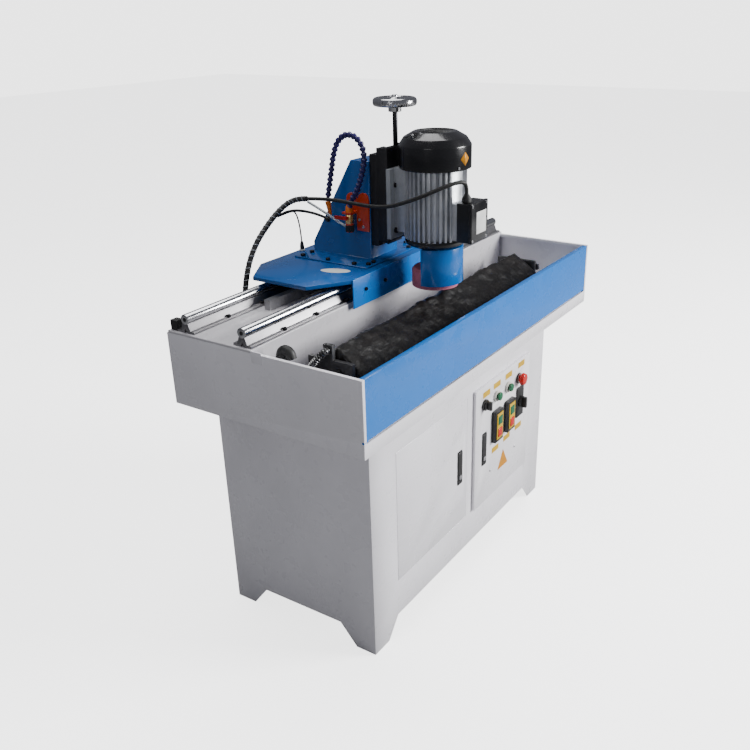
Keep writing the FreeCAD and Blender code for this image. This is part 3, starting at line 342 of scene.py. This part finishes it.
def enamel(name, colour, low=0.22, high=0.38, variety=0.06, peel=0.00015):
    """Sprayed and baked paint: a faint orange peel, cloudy gloss and hardly any stain."""
    finish = Finish(name, colour, (low + high) / 2, Coat_Weight=0.35, Coat_Roughness=0.08)
    cloud = finish.noise(5, 5)
    finish.colours(cloud, (0.25, shade(colour, 1 - variety)), (0.75, shade(colour, 1 + variety)))
    finish.gloss(finish.noise(16, 3), low, high)
    finish.relief(finish.noise(420, 2), peel, 0.25)
    return finish.material


def plastic(name, colour, low=0.32, high=0.5, grain=900, depth=0.00008, variety=0.1):
    """Moulded plastic with a fine spark-eroded grain."""
    finish = Finish(name, colour, (low + high) / 2)
    finish.colours(finish.noise(30, 4), (0.3, shade(colour, 1 - variety)),
                   (0.7, shade(colour, 1 + variety)))
    finish.gloss(finish.noise(55, 3), low, high)
    finish.relief(finish.noise(grain, 2), depth, 0.4)
    return finish.material


def metal(name, colour, low, high, stretch=None, depth=0.00003, variety=0.12, scale=240):
    """Bare metal; the stretch draws its tool marks out."""
    finish = Finish(name, colour, (low + high) / 2, 1.0)
    finish.colours(finish.noise(12, 5), (0.3, shade(colour, 1 - variety)),
                   (0.7, shade(colour, 1 + variety)))
    finish.gloss(finish.noise(scale, 3, stretch), low, high)
    finish.relief(finish.noise(scale, 3, stretch), depth, 0.35)
    return finish.material


def casting(name, colour, metallic, low, high, depth=0.0004):
    """Rough cast metal, painted or bare."""
    finish = Finish(name, colour, (low + high) / 2, metallic)
    finish.colours(finish.noise(22, 6), (0.3, shade(colour, 0.85)), (0.72, shade(colour, 1.12)))
    finish.gloss(finish.noise(60, 4), low, high)
    finish.relief(finish.noise(330, 4), depth, 0.45)
    return finish.material


WHITE = (0.86, 0.845, 0.885)
PANEL = (0.87, 0.855, 0.89)
# the rail platform's grey is the white paint darkened: painted shade
SHADED_PLATFORM_WHITE = (0.6, 0.585, 0.61)
BLUE = (0.003, 0.085, 0.31)
FLAP_BLUE = (0.0, 0.15, 0.53)
GUARD_BLUE = (0.0, 0.12, 0.42)


def wrinkled_film():
    """Dark, oily plastic film with paler patches of painted reflection."""
    finish = Finish("wrinkled_film", (0.02, 0.018, 0.017), 0.4, Specular_IOR_Level=0.25,
                    Coat_Weight=0.08, Coat_Roughness=0.2)
    folds = finish.noise(22, 6, (0.35, 1, 1), 0.6)
    # the palest stop is painted reflection, laid in stretched patches by the noise named folds;
    # the darker stops are the film's own colour
    finish.colours(folds, (0.42, (0.003, 0.0026, 0.0026)), (0.6, (0.008, 0.0065, 0.006)),
                   (0.8, (0.035, 0.03, 0.027)))
    finish.gloss(finish.noise(60, 4), 0.36, 0.6)
    finish.relief(finish.noise(85, 6, (0.6, 1, 1)), 0.004, 0.7)
    return finish.material


paint = {
    "white": enamel("white_enamel", WHITE),
    "panel": enamel("panel_enamel", PANEL),
    "platform": enamel("platform_enamel_painted_shade", SHADED_PLATFORM_WHITE),
    "blue": enamel("column_enamel", BLUE, 0.16, 0.3, 0.08),
    "flap": enamel("flap_enamel", FLAP_BLUE, 0.2, 0.34, 0.05),
    "guard": enamel("guard_enamel", GUARD_BLUE, 0.18, 0.3, 0.06),
    "grey": enamel("grey_enamel", (0.30, 0.32, 0.34), 0.3, 0.45, 0.12),
    "pump": enamel("pump_enamel", (0.03, 0.09, 0.2), 0.3, 0.45, 0.1),
    "silver": casting("silver_casting", (0.56, 0.58, 0.61), 0.75, 0.36, 0.52, 0.0002),
    "iron": casting("blacked_iron", (0.018, 0.018, 0.02), 0.2, 0.36, 0.55, 0.0003),
    "chuck": casting("oiled_iron", (0.02, 0.02, 0.021), 0.6, 0.3, 0.5, 0.0003),
    "conduit": metal("conduit_steel", (0.12, 0.12, 0.12), 0.22, 0.36, None, 0.00003),
    "tank": metal("galvanised_sheet", (0.42, 0.44, 0.45), 0.4, 0.6, None, 0.00008, 0.25, 60),
    "shaft": metal("ground_shaft", (0.55, 0.555, 0.57), 0.1, 0.22, (1, 40, 40), 0.00001, 0.06),
    "support": metal("drawn_aluminium", (0.27, 0.265, 0.275), 0.3, 0.44, (1, 30, 30)),
    "block": metal("machined_aluminium", (0.6, 0.61, 0.63), 0.32, 0.46, (30, 1, 1)),
    "steel": metal("machined_steel", (0.42, 0.42, 0.43), 0.28, 0.45, (1, 1, 30)),
    "pole": metal("ground_pole_face", (0.07, 0.068, 0.07), 0.24, 0.42, (40, 1, 1)),
    "chrome": metal("polished_chrome", (0.5, 0.5, 0.51), 0.09, 0.2, None, 0.00001, 0.04),
    "bolt": metal("black_oxide", (0.035, 0.035, 0.038), 0.3, 0.5, None, 0.00004),
    "zinc": metal("zinc_screw", (0.62, 0.62, 0.64), 0.22, 0.4, None, 0.00003),
    "brass": metal("brass", (0.72, 0.52, 0.2), 0.2, 0.36, None, 0.00003),
    "black": plastic("black_plastic", (0.012, 0.012, 0.013)),
    "cover": enamel("fan_cover_enamel", (0.008, 0.008, 0.009), 0.14, 0.26, 0.2),
    "rubber": plastic("rubber", (0.014, 0.014, 0.014), 0.5, 0.7, 500, 0.0001),
    "pale": plastic("pale_plastic", (0.66, 0.65, 0.6)),
    "green": plastic("green_plastic", (0.006, 0.11, 0.045), 0.2, 0.35),
    "red": plastic("red_plastic", (0.5, 0.008, 0.006), 0.2, 0.34),
    "orange": plastic("orange_plastic", (0.72, 0.16, 0.01), 0.22, 0.38),
    "sticker": plastic("orange_sticker", (0.55, 0.22, 0.002), 0.3, 0.45),
    "red_paint": enamel("red_enamel", (0.62, 0.045, 0.01), 0.25, 0.4, 0.12),
    "yellow": plastic("yellow_label", (0.56, 0.34, 0.006), 0.3, 0.45),
    "label": plastic("white_label", (0.72, 0.72, 0.7), 0.3, 0.45),
    "violet": plastic("violet_plastic", (0.018, 0.012, 0.11), 0.28, 0.42),
    "film": wrinkled_film(),
}


def grit():
    """Open-grained abrasive: pink grains and dark pores."""
    finish = Finish("pink_abrasive", (0.5, 0.14, 0.2), 0.85)
    finish.colours(finish.noise(700, 6), (0.35, (0.16, 0.03, 0.05)), (0.5, (0.48, 0.12, 0.19)),
                   (0.72, (0.72, 0.34, 0.40)))
    finish.relief(finish.noise(520, 5), 0.0008, 0.8)
    return finish.material


def clear_tube():
    """Milky see-through tube."""
    finish = Finish("clear_tube", (0.80, 0.84, 0.86), 0.15, Transmission_Weight=0.55, IOR=1.4)
    finish.gloss(finish.noise(90, 3), 0.1, 0.25)
    return finish.material


paint["grit"] = grit()
paint["clear"] = clear_tube()

# ------------------------------------------------------------ camera, light and floor


def set_up_camera():
    """A standing person's view of the left front corner."""
    turn, tilt, roll = math.radians(56.68), math.radians(-24.12), math.radians(-1.07)
    ahead = Vector((math.sin(turn) * math.cos(tilt), math.cos(turn) * math.cos(tilt),
                    math.sin(tilt)))
    right = Vector((math.cos(turn), -math.sin(turn), 0))
    up = right.cross(ahead)
    side = right * math.cos(roll) + up * math.sin(roll)
    top = up * math.cos(roll) - right * math.sin(roll)
    let_go()
    bpy.ops.object.camera_add(location=(-1.914, -1.243, 1.557))
    camera = bpy.context.object
    rotation = Matrix((side, top, -ahead)).transposed()
    camera.rotation_euler = rotation.to_euler()
    camera.data.sensor_width = 36
    camera.data.lens = 40.9
    camera.data.shift_x = -0.0333
    camera.data.shift_y = 0.0133
    camera.data.clip_end = 60
    bpy.context.scene.camera = camera


def soft_light(name, place, target, size, power):
    """A square lamp that faces its target."""
    let_go()
    bpy.ops.object.light_add(type="AREA", location=place)
    lamp = bpy.context.object
    lamp.name = name
    lamp.data.size = size
    lamp.data.energy = power
    lamp.rotation_euler = (Vector(target) - Vector(place)).to_track_quat("-Z", "Y").to_euler()


def set_up_stage():
    """A pale floor, three soft lamps and a backdrop that shows brighter than it lights."""
    let_go()
    bpy.ops.mesh.primitive_plane_add(size=30, location=(0, 0, 0))
    floor = bpy.context.object
    floor.name = "pale_floor"
    paint_all(floor, floor_finish())
    world = bpy.data.worlds.new("studio")
    world.use_nodes = True
    nodes, links = world.node_tree.nodes, world.node_tree.links
    glow, backdrop = nodes["Background"], nodes.new("ShaderNodeBackground")
    glow.inputs["Color"].default_value = (0.86, 0.88, 1, 1)
    glow.inputs["Strength"].default_value = ROOM_LIGHT
    backdrop.inputs["Strength"].default_value = BACKDROP_LIGHT
    mix, path = nodes.new("ShaderNodeMixShader"), nodes.new("ShaderNodeLightPath")
    links.new(path.outputs["Is Camera Ray"], mix.inputs["Fac"])
    links.new(glow.outputs["Background"], mix.inputs[1])
    links.new(backdrop.outputs["Background"], mix.inputs[2])
    links.new(mix.outputs["Shader"], nodes["World Output"].inputs["Surface"])
    bpy.context.scene.world = world
    soft_light("key", (2.6, -4.4, 2.4), (0, 0, 0.6), 2.2, 560)
    soft_light("top", (0.2, 0.6, 4.4), (0, 0, 0.8), 2.8, 130)
    soft_light("side", (-4.0, -0.6, 2.4), (0, 0, 0.9), 1.6, 14)


def floor_finish():
    """A pale floor that glows to the camera and throws little light back up."""
    finish = Finish("pale_floor", (0.9, 0.9, 0.9), 0.7, Emission_Color=(1, 1, 1, 1),
                    Emission_Strength=2.6)
    finish.colours(finish.noise(1.5, 2), (0.3, (0.9, 0.9, 0.9)), (0.7, (0.93, 0.93, 0.93)))
    dim = finish.add("ShaderNodeBsdfDiffuse")
    dim.inputs["Color"].default_value = (0.3, 0.3, 0.3, 1)
    mix, path = finish.add("ShaderNodeMixShader"), finish.add("ShaderNodeLightPath")
    finish.link(path.outputs["Is Camera Ray"], mix.inputs["Fac"])
    finish.link(dim.outputs["BSDF"], mix.inputs[1])
    finish.link(finish.shader.outputs["BSDF"], mix.inputs[2])
    finish.link(mix.outputs["Shader"],
                finish.tree.nodes["Material Output"].inputs["Surface"])
    return finish.material


set_up_camera()
set_up_stage()

# ------------------------------------------------------------ cords and hoses


def route(name, points, radius=0.0, turns=6):
    """A smooth line with the given points as its control points."""
    curve = bpy.data.curves.new(name, "CURVE")
    curve.dimensions = "3D"
    curve.resolution_u = 12
    spline = curve.splines.new("NURBS")
    spline.points.add(len(points) - 1)
    for handle, place in zip(spline.points, points):
        handle.co = (*metres(place), 1)
    spline.order_u = 3
    spline.use_endpoint_u = True
    curve.bevel_depth = radius
    curve.bevel_resolution = turns
    curve.use_fill_caps = True
    line = bpy.data.objects.new(name, curve)
    bpy.context.scene.collection.objects.link(line)
    return line


def read_line(points):
    """Points along the smooth line, in order."""
    line = route("reading", points)
    line.data.use_fill_caps = False
    mesh = bpy.data.meshes.new_from_object(line)
    spots = [v.co.copy() for v in mesh.vertices]
    bpy.data.meshes.remove(mesh)
    bpy.data.objects.remove(line, do_unlink=True)
    return spots


def line_length(spots):
    """The length of a line of points."""
    return sum((b - a).length for a, b in zip(spots, spots[1:]))


def along(spots, pitch):
    """(point, direction) at even steps along a line."""
    total = line_length(spots)
    count = max(2, round(total / pitch))
    step = total / count
    result = []
    travelled, target = 0.0, step / 2
    for a, b in zip(spots, spots[1:]):
        run = (b - a).length
        while target <= travelled + run and len(result) < count:
            part = (target - travelled) / run
            result.append((a.lerp(b, part), (b - a).normalized()))
            target += step
        travelled += run
    return result


COOLANT_HOSE = [(-95, 104, 1062), (-95, 95, 1085), (-95, 76, 1110), (-95, 62, 1145),
                (-95, 50, 1185), (-95, 51, 1222), (-95, 74, 1250), (-95, 108, 1254),
                (-95, 135, 1232), (-95, 149, 1195), (-95, 157, 1158), (-95, 166, 1118),
                (-95, 173, 1085)]
MOTOR_CABLE = [(-28, -214, 1119), (-28, -214, 1137), (-44, -213, 1153), (-78, -190, 1147),
               (-106, -148, 1126), (-119, -98, 1105), (-123, -45, 1087), (-121, 10, 1081),
               (-119, 68, 1083), (-119, 124, 1086), (-124, 176, 1086), (-130, 217.5, 1083)]
CABLE_BUNDLE = [(-130, 218, 1083), (-134, 246, 1081), (-152, 267, 1071), (-187, 277, 1050),
                (-225, 281, 1023), (-262, 284, 992), (-292, 286, 955), (-313, 287, 912),
                (-326, 287, 866), (-331, 287, 815), (-331, 287, 760), (-330, 287, 706),
                (-330, 287, 652)]
WATER_HOSE = [(-104, 236, 1068), (-107, 206, 1058), (-107, 180, 1047), (-105, 153, 1034),
              (-97, 130, 1018), (-95, 115.5, 1012)]
CONDUIT = [(-477, -100, 829), (-492, -100, 829), (-504, -91, 816), (-507, -77, 799),
           (-505, -60, 779), (-500, -40, 761), (-495, -16, 750), (-495, 5, 750)]
DRIVE_LEAD = [(-70, 195, 1019), (-78, 208, 1026), (-88, 228, 1034), (-104, 250, 1041),
              (-125, 262, 1046), (-150, 268, 1047), (-172, 273, 1043), (-187, 276, 1041)]
SENSOR_LEAD = [(-82, 285, 947), (-81, 288, 980), (-86, 289, 1008), (-100, 284, 1030),
               (-122, 278, 1044), (-150, 275, 1047), (-171, 276, 1044), (-186, 277, 1041)]


def bead_row(name, bead, spots, pitch):
    """The bead copied along the line, each turned to the line's direction."""
    beads = []
    for place, direction in along(spots, pitch):
        take(bead)
        bpy.ops.object.duplicate()
        twin = bpy.context.object
        twin.rotation_euler = direction.to_track_quat("Z", "Y").to_euler()
        twin.location = place
        beads.append(settle(twin, name))
    bpy.data.objects.remove(bead, do_unlink=True)
    return weld(name, *beads)


def line_mesh(line):
    """The line turned into a mesh."""
    take(line)
    bpy.ops.object.convert(target="MESH")
    return bpy.context.object


def cord_piece(name, points, radius, coat, body, node,
               blend=None, shape=None):
    """A cord from the frame: a smooth tube, or another shape that follows the same line."""
    spots = read_line(points)
    piece = shape if shape else line_mesh(route(name, points, radius, 5))
    piece.name = name
    if not shape:
        paint_all(piece, coat)
    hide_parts(node)
    if blend:
        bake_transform(piece)
    else:
        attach(piece, body)
    return piece


def ball_segment():
    """One segment of the coolant hose: a ball that narrows to a flared socket."""
    return turned("segment", [(0.0035, -0.0075), (0.0062, -0.0068), (0.0078, -0.0035),
                              (0.0085, -0.0008), (0.0085, 0.0008), (0.0066, 0.0026),
                              (0.0052, 0.0046), (0.0048, 0.0075)],
                  (0, 0, 0), "Z", 20)


def cords():
    """Every hose and cable that has a sub-part in the frame."""
    cord_piece("motor_cable_flex", MOTOR_CABLE, 0.005, paint["rubber"], "head",
               "motor_cable",
               ("head", "carriage", metres((-119, -98, 1115)), metres((-119, 68, 1090))))
    bundle = wrapped_bundle()
    cord_piece("cable_bundle_wrapped", CABLE_BUNDLE, 0.0085, paint["rubber"], "carriage",
               "cable_bundle",
               ("root", "carriage", metres((-331, 287, 700)), metres((-187, 277, 1044))),
               bundle)
    cord_piece("water_hose_clear", WATER_HOSE, 0.0035, paint["clear"], "carriage",
               "water_hose")
    spots = read_line(COOLANT_HOSE)
    hose = paint_all(bead_row("coolant_hose_segments", ball_segment(), spots, 0.0135),
                     paint["violet"])
    cord_piece("coolant_hose_segments", COOLANT_HOSE, 0.0085, paint["violet"], "carriage",
               "coolant_hose", shape=hose)
    spots = read_line(CONDUIT)
    rib = turned("rib", [(0.0066, -0.0031), (0.0074, -0.0022), (0.009, -0.0012), (0.009, 0.0012),
                         (0.0074, 0.0022), (0.0066, 0.0031)], (0, 0, 0), "Z", 28)
    conduit = paint_all(bead_row("conduit_ribs", rib, spots, 0.0058), paint["conduit"])
    cord_piece("conduit_ribs", CONDUIT, 0.009, paint["conduit"], "root", "chuck_conduit",
               shape=conduit)


def wrapped_bundle():
    """Black cables in a spiral wrap: a dark core and a pale ribbon wound round it."""
    core = line_mesh(route("bundle_core", CABLE_BUNDLE, 0.0072, 5))
    paint_all(core, paint["rubber"])
    spots = read_line(CABLE_BUNDLE)
    step, pitch, reach = 1.6 * MM, 16 * MM, 7.3 * MM
    wrap = []
    for index, (place, direction) in enumerate(along(spots, step)):
        turn = index * 2 * math.pi * step / pitch
        side = direction.orthogonal().normalized()
        other = direction.cross(side)
        wrap.append(place + (side * math.cos(turn) + other * math.sin(turn)) * reach)
    curve = bpy.data.curves.new("wrap", "CURVE")
    curve.dimensions = "3D"
    spline = curve.splines.new("POLY")
    spline.points.add(len(wrap) - 1)
    for handle, place in zip(spline.points, wrap):
        handle.co = (*place, 1)
    curve.bevel_depth = 1.2 * MM
    curve.bevel_resolution = 1
    line = bpy.data.objects.new("wrap", curve)
    bpy.context.scene.collection.objects.link(line)
    ribbon = line_mesh(line)
    paint_all(ribbon, paint["grey"])
    return weld("cable_bundle_wrapped", ribbon, core)


cords()

# ------------------------------------------------------------ parts dressed from the frame

DRESSED = {
    # node: (finish, edge width in millimetres)
    "cabinet_shell": ("white", 0.9), "door_panel_left": ("white", 1.0),
    "door_panel_right": ("panel", 1.0), "tray": ("white", 0.9), "front_flap": ("flap", 0.8),
    "rail_platform": ("platform", 1.0), "rail_shafts": ("shaft", 0.8),
    "rail_supports": ("support", 0.4), "gear_rack": ("steel", 0), "end_stops": ("rubber", 1.5),
    "chuck_brackets": ("iron", 0.6), "carriage_plate": ("blue", 1.0),
    "front_apron": ("flap", 0.6), "bearing_blocks": ("block", 0.6), "column": ("blue", 2.0),
    "dovetail_base": ("iron", 0.8), "travel_motor": ("iron", 1.5), "travel_pinion": ("steel", 0),
    "saddle": ("iron", 1.0), "head_plate": ("grey", 0.8), "motor_housing": ("silver", 0.7),
    "fan_cover": ("cover", 1.2), "end_shield": ("cover", 1.5), "wheel_guard": ("guard", 0.5),
    "rotor_and_fan": ("steel", 0.6), "wheel_flange": ("steel", 0.6),
    "grinding_wheel": ("grit", 1.0), "lead_screw": ("bolt", 0.6), "handwheel": ("chrome", 1.6),
    "chuck_body": ("chuck", 1.2), "chuck_face": ("pole", 0.6), "chuck_lock_knob": ("black", 2.5),
    "coolant_tank": ("tank", 0.8), "coolant_pump": ("pump", 1.5),
    "cable_fittings": ("rubber", 1.0),
    "latch_paddle_left": ("black", 1.5), "latch_paddle_right": ("black", 1.5),
    "selector_knob": ("black", 1.0), "green_button_left": ("green", 1.2),
    "green_button_right": ("green", 1.2), "emergency_button": ("red", 2.5),
    "start_button_left": ("green", 1.5), "start_button_right": ("green", 1.5),
    "stop_button_left": ("red", 1.5), "stop_button_right": ("red", 1.5),
    "panel_switch_cases": ("black", 1.6), "cam_switch_knob": ("black", 1.2),
    "button_collars": ("pale", 0.8), "tap_lever": ("red", 1.0),
    "coolant_tap": ("red_paint", 0.8), "coolant_nozzle": ("orange", 0.8),
    "cable_gland": ("black", 0.6), "terminal_box": ("black", 3.0),
    "rail_bolts": ("bolt", 0.3), "column_bolts": ("bolt", 0.8),
}

# parts whose shallow edges are rounded too, by their least angle in degrees
FINE_ANGLES = {"fan_cover": 16, "motor_housing": 24}

for node, (finish_name, edge) in DRESSED.items():
    dress(node, paint[finish_name], edge * MM, FINE_ANGLES.get(node, 32))

# ------------------------------------------------------------ fasteners


def cap_screw(name, at, axis, radius, height, sides=24):
    """A socket head: a round head with a recess in its top."""
    return turned(name, [(radius, 0), (radius, height * 0.82), (radius * 0.86, height),
                         (radius * 0.5, height), (radius * 0.46, height * 0.4)],
                  at, axis, sides)


def screws(name, spots, axis, radius, height, coat, body):
    """The same socket head at each spot."""
    first = cap_screw(name, (0, 0, 0), axis, radius * MM, height * MM)
    heads = [copy_to(first, point(*spot)) for spot in spots]
    bpy.data.objects.remove(first, do_unlink=True)
    return fit(weld(name, *heads), coat, body)


def nut(name, at, axis, radius, height):
    """A six-sided nut with eased rims."""
    return turned(name, [(radius * 0.9, 0), (radius, height * 0.12), (radius, height * 0.88),
                         (radius * 0.9, height)], at, axis, 6)


def plate(name, low, high, coat, body, width=0.3):
    """A thin flat piece: low and high corners in millimetres."""
    return fit(bar(name, point(*low), point(*high), width * MM), coat, body)


screws("head_plate_bolts", [(-55, -16, 1010), (-52, -16, 1128), (43, -16, 1010),
                            (43, -16, 1128)], "-Y", 7.5, 6, paint["bolt"], "head")
screws("fan_cover_screws", [(-37.81, -196.39, 1181)], "-Y", 3.2, 2, paint["zinc"], "head")
screws("apron_bolts", [(x, -9, 884) for x in (-190, -101, 89, 178)], "-Y", 5, 4.5,
       paint["bolt"], "carriage")
screws("terminal_lid_screws", [(x, -239, z) for x in (-43, 31) for z in (1003, 1091)], "-Y",
       3.6, 2.4, paint["zinc"], "head")
screws("door_screws", [(118, -228, 257), (284, -228, 265)], "-Y", 3.4, 2.2, paint["zinc"],
       "door_right")

# ------------------------------------------------------------ rails' ends and platform


def rail_ends():
    """Black discs of painted shade in the shafts' tapped holes."""
    hole_shades = [turned("hole_shade", [(4.9 * MM, 0), (4.7 * MM, 0.5 * MM), (2.6 * MM, 0.5 * MM),
                             (2.2 * MM, 0.1 * MM)], point(side * 612.1, y, 889), axis, 20)
             for y in (36, 214) for side, axis in ((-1, "-X"), (1, "X"))]
    fit(weld("shaft_end_hole_shade", *hole_shades), paint["rubber"], "root")


rail_ends()
plate("platform_end_tab", (-620.8, -26, 828), (-618, 4.5, 855.5), paint["white"], "root")

# ------------------------------------------------------------ carriage and column


def carriage_label():
    """A blank lens-shaped label on the plate."""
    label = turned("carriage_label", [(30 * MM, 0), (30 * MM, 0.4 * MM)], (0, 0, 0), "Z", 40)
    label.scale = (0.62, 1.35, 1)
    label.rotation_euler = (0, 0, math.radians(20))
    label.location = point(-196, 82, 920)
    fit(settle(label, "carriage_label"), paint["label"], "carriage")


def position_sensor():
    """An upright sensor in the plate: a threaded barrel, two nuts and a soft boot."""
    barrel = paint_all(rod("barrel", 5 * MM, point(*SENSOR, 905), 30 * MM, "Z", 24),
                       paint["zinc"])
    nuts = [paint_all(nut("locknut", point(*SENSOR, z), "Z", 9 * MM, 5 * MM), paint["pale"])
            for z in (920, 905)]
    boot = paint_all(turned("boot", [(5.6 * MM, 0), (6.4 * MM, 4 * MM), (5.4 * MM, 14 * MM),
                                     (3.0 * MM, 22 * MM)], point(*SENSOR, 926), "Z", 24),
                     paint["rubber"])
    sensor = weld("position_sensor", barrel, boot, *nuts)
    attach(sensor, "carriage")
    thin_lead("sensor_lead", SENSOR_LEAD, 2.2 * MM)


def thin_lead(name, points, radius):
    """A thin black lead between the carriage and the cable bundle."""
    spots = read_line(points)
    lead = line_mesh(route(name, points, radius, 4))
    fit(lead, paint["rubber"], "carriage")


def drive_lead():
    """The travel motor's lead, from a gland on the column's left face to the bundle."""
    gland = turned("drive_gland", [(8 * MM, 0), (8 * MM, 4 * MM), (6 * MM, 5 * MM),
                                   (4.6 * MM, 10 * MM)], point(*DRIVE_LEAD[0]), "-X", 24)
    fit(gland, paint["rubber"], "carriage")
    thin_lead("drive_lead", DRIVE_LEAD, 4 * MM)


def tap_fittings():
    """The pale valve body, the black hose nut and the orange hose socket of the tap."""
    body = turned("valve_body", [(9.6 * MM, 0), (10.8 * MM, 2 * MM), (10.8 * MM, 24 * MM),
                                 (9 * MM, 27 * MM)], point(*TAP, 1021), "Z", 8)
    fit(body, paint["brass"], "carriage")
    fit(nut("hose_nut", point(*TAP, 999.5), "Z", 13 * MM, 20 * MM), paint["rubber"],
        "carriage")
    socket = turned("hose_socket", [(11 * MM, 0), (10 * MM, 6 * MM), (9.4 * MM, 14 * MM),
                                    (7.4 * MM, 18 * MM)], point(*TAP, 1052), "Z", 24)
    fit(socket, paint["orange"], "carriage")
    screws("tap_screws", [(-76, 72, 1012), (-76, 84, 1030)], "-X", 4, 3, paint["zinc"],
           "carriage")


carriage_label()
position_sensor()
drive_lead()
tap_fittings()

# ------------------------------------------------------------ head


def terminal_lid():
    """The box's separate lid with a raised blank plate."""
    fit(bar("terminal_lid", point(-50, -241, 996), point(38, -233, 1099), 3 * MM, 3),
        paint["cover"], "head")
    plate("terminal_label", (-24, -241.6, 1018), (27, -240.8, 1074), paint["label"], "head")


def gland_nut():
    """A ribbed nut on the box's cable gland."""
    ribs = turned("gland_nut", [(11 * MM, 0), (12.4 * MM, 1.5 * MM), (12.4 * MM, 11 * MM),
                                (9.4 * MM, 15 * MM), (7 * MM, 20 * MM)], point(-28, -214, 1097.5),
                  "Z", 12)
    fit(ribs, paint["rubber"], "head")


def fan_cover_top():
    """Rings and spokes of the air inlet in the cover's flat top."""
    rings = [ring("grille_ring", r * MM, (r - 2.2) * MM, point(*MOTOR, 1263.4), 1.4 * MM, "Z",
                  48, 0.3 * MM) for r in (46, 38, 30, 22, 14)]
    spokes = []
    for k in range(4):
        spoke = bar("spoke", (-46 * MM, -1.4 * MM, 0), (46 * MM, 1.4 * MM, 1.2 * MM), 0.3 * MM)
        spoke.rotation_euler = (0, 0, math.radians(45 * k))
        spoke.location = point(*MOTOR, 1263.4)
        spokes.append(settle(spoke, "spoke"))
    fit(weld("fan_grille", *rings, *spokes), paint["rubber"], "head")


def cover_sticker():
    """A blank diamond sticker that follows the cover's curve."""
    sleeve = ring("cover_sticker", 93.5 * MM, 92.9 * MM, point(*MOTOR, 1180), 44 * MM, "Z", 96,
                  0)
    patch = bar("patch", (-12 * MM, -12 * MM, -12 * MM), (12 * MM, 12 * MM, 12 * MM), 0)
    patch.location = point(-16, -202, 1202)
    patch.rotation_euler = (0, math.radians(45), 0)
    apply_modifier(sleeve, "BOOLEAN", operation="INTERSECT", object=patch, solver="EXACT")
    bpy.data.objects.remove(patch, do_unlink=True)
    fit(sleeve, paint["sticker"], "head")


terminal_lid()
gland_nut()
fan_cover_top()
cover_sticker()

# ------------------------------------------------------------ control panel


def switch_faces():
    """A yellow plate round the keys of each switch box."""
    for name, x in (("left", 147), ("right", 228)):
        plate(f"switch_plate_{name}", (x - 19, -244.2, 360), (x + 19, -241.8, 444),
              paint["yellow"], "door_right", 1)


def button_rings():
    """Pale bezels round the two green buttons, dark ones under the knobs."""
    for name, coat, depth in (("selector", "black", 7), ("green_left", "pale", 7),
                              ("green_right", "pale", 7), ("emergency", "black", 4.5)):
        foot = point(BUTTONS[name], DOOR_FACE, BUTTON_LEVEL)
        fit(ring(f"{name}_bezel", 17 * MM, 10.5 * MM, foot, depth * MM, "-Y", 40, 1 * MM),
            paint[coat], "door_right")


def panel_labels():
    """Blank yellow labels and a blank orange triangle."""
    upper = [(83, 528), (150, 531), (226, 533), (312, 539)]
    lower = [(149, 319), (226, 325), (306, 329)]
    labels = [bar("label", point(x - 22, DOOR_FACE - 0.5, z - 9),
                  point(x + 22, DOOR_FACE, z + 9), 0) for x, z in upper + lower]
    fit(weld("panel_labels", *labels), paint["yellow"], "door_right")
    triangle = turned("triangle_label", [(39 * MM, 0), (39 * MM, 0.6 * MM)], (0, 0, 0), "Z", 3)
    triangle.rotation_euler = (math.pi / 2, 0, 0)
    triangle.location = point(204, DOOR_FACE, 252)
    fit(settle(triangle, "triangle_label"), paint["sticker"], "door_right")


def latch_locks():
    """A key barrel on each latch."""
    for side, x, y, z in (("left", -55, -222, 347), ("right", 75, -231, 350)):
        body = BODY_OF[f"latch_paddle_{side}"]
        fit(turned(f"latch_key_{side}", [(7 * MM, 0), (7 * MM, 1.6 * MM), (5 * MM, 2.2 * MM),
                                         (1.8 * MM, 2.2 * MM), (1.5 * MM, 1.2 * MM)],
                   point(x, y, z - 30), "-Y", 28), paint["zinc"], body)


def green_caps():
    """Domed green caps on the two push buttons."""
    for side in ("left", "right"):
        node = f"green_button_{side}"
        foot = point(BUTTONS[f"green_{side}"], DOOR_FACE - 10.6, BUTTON_LEVEL)
        cap = turned(f"{node}_cap", [(12.4 * MM, 0), (12.8 * MM, 1.5 * MM), (12.2 * MM, 5 * MM),
                                     (9 * MM, 6.6 * MM), (2 * MM, 7.2 * MM)], foot, "-Y", 32)
        fit(cap, paint["green"], BODY_OF[node])


switch_faces()
button_rings()
panel_labels()
latch_locks()
green_caps()

# ------------------------------------------------------------ chuck


def chuck_film():
    """Crumpled, oily film round the chuck."""
    film = bar("chuck_film", (-460 * MM, -64 * MM, -42 * MM), (490 * MM, 53 * MM, 36 * MM), 0)
    apply_modifier(film, "REMESH", mode="VOXEL", voxel_size=6 * MM)
    apply_modifier(film, "SMOOTH", factor=0.8, iterations=12)
    for size, strength in ((0.09, 0.016), (0.035, 0.01), (0.014, 0.004)):
        folds = bpy.data.textures.new("folds", "CLOUDS")
        folds.noise_scale = size
        folds.noise_depth = 2
        apply_modifier(film, "DISPLACE", texture=folds, strength=strength, mid_level=0.5,
                       texture_coords="LOCAL")
    film.rotation_euler = (math.radians(35), 0, 0)
    film.location = point(0, -129, 776)
    settle(film, "chuck_film")
    take(film)
    bpy.ops.object.shade_smooth()
    fit(film, paint["film"], "chuck")


chuck_film()
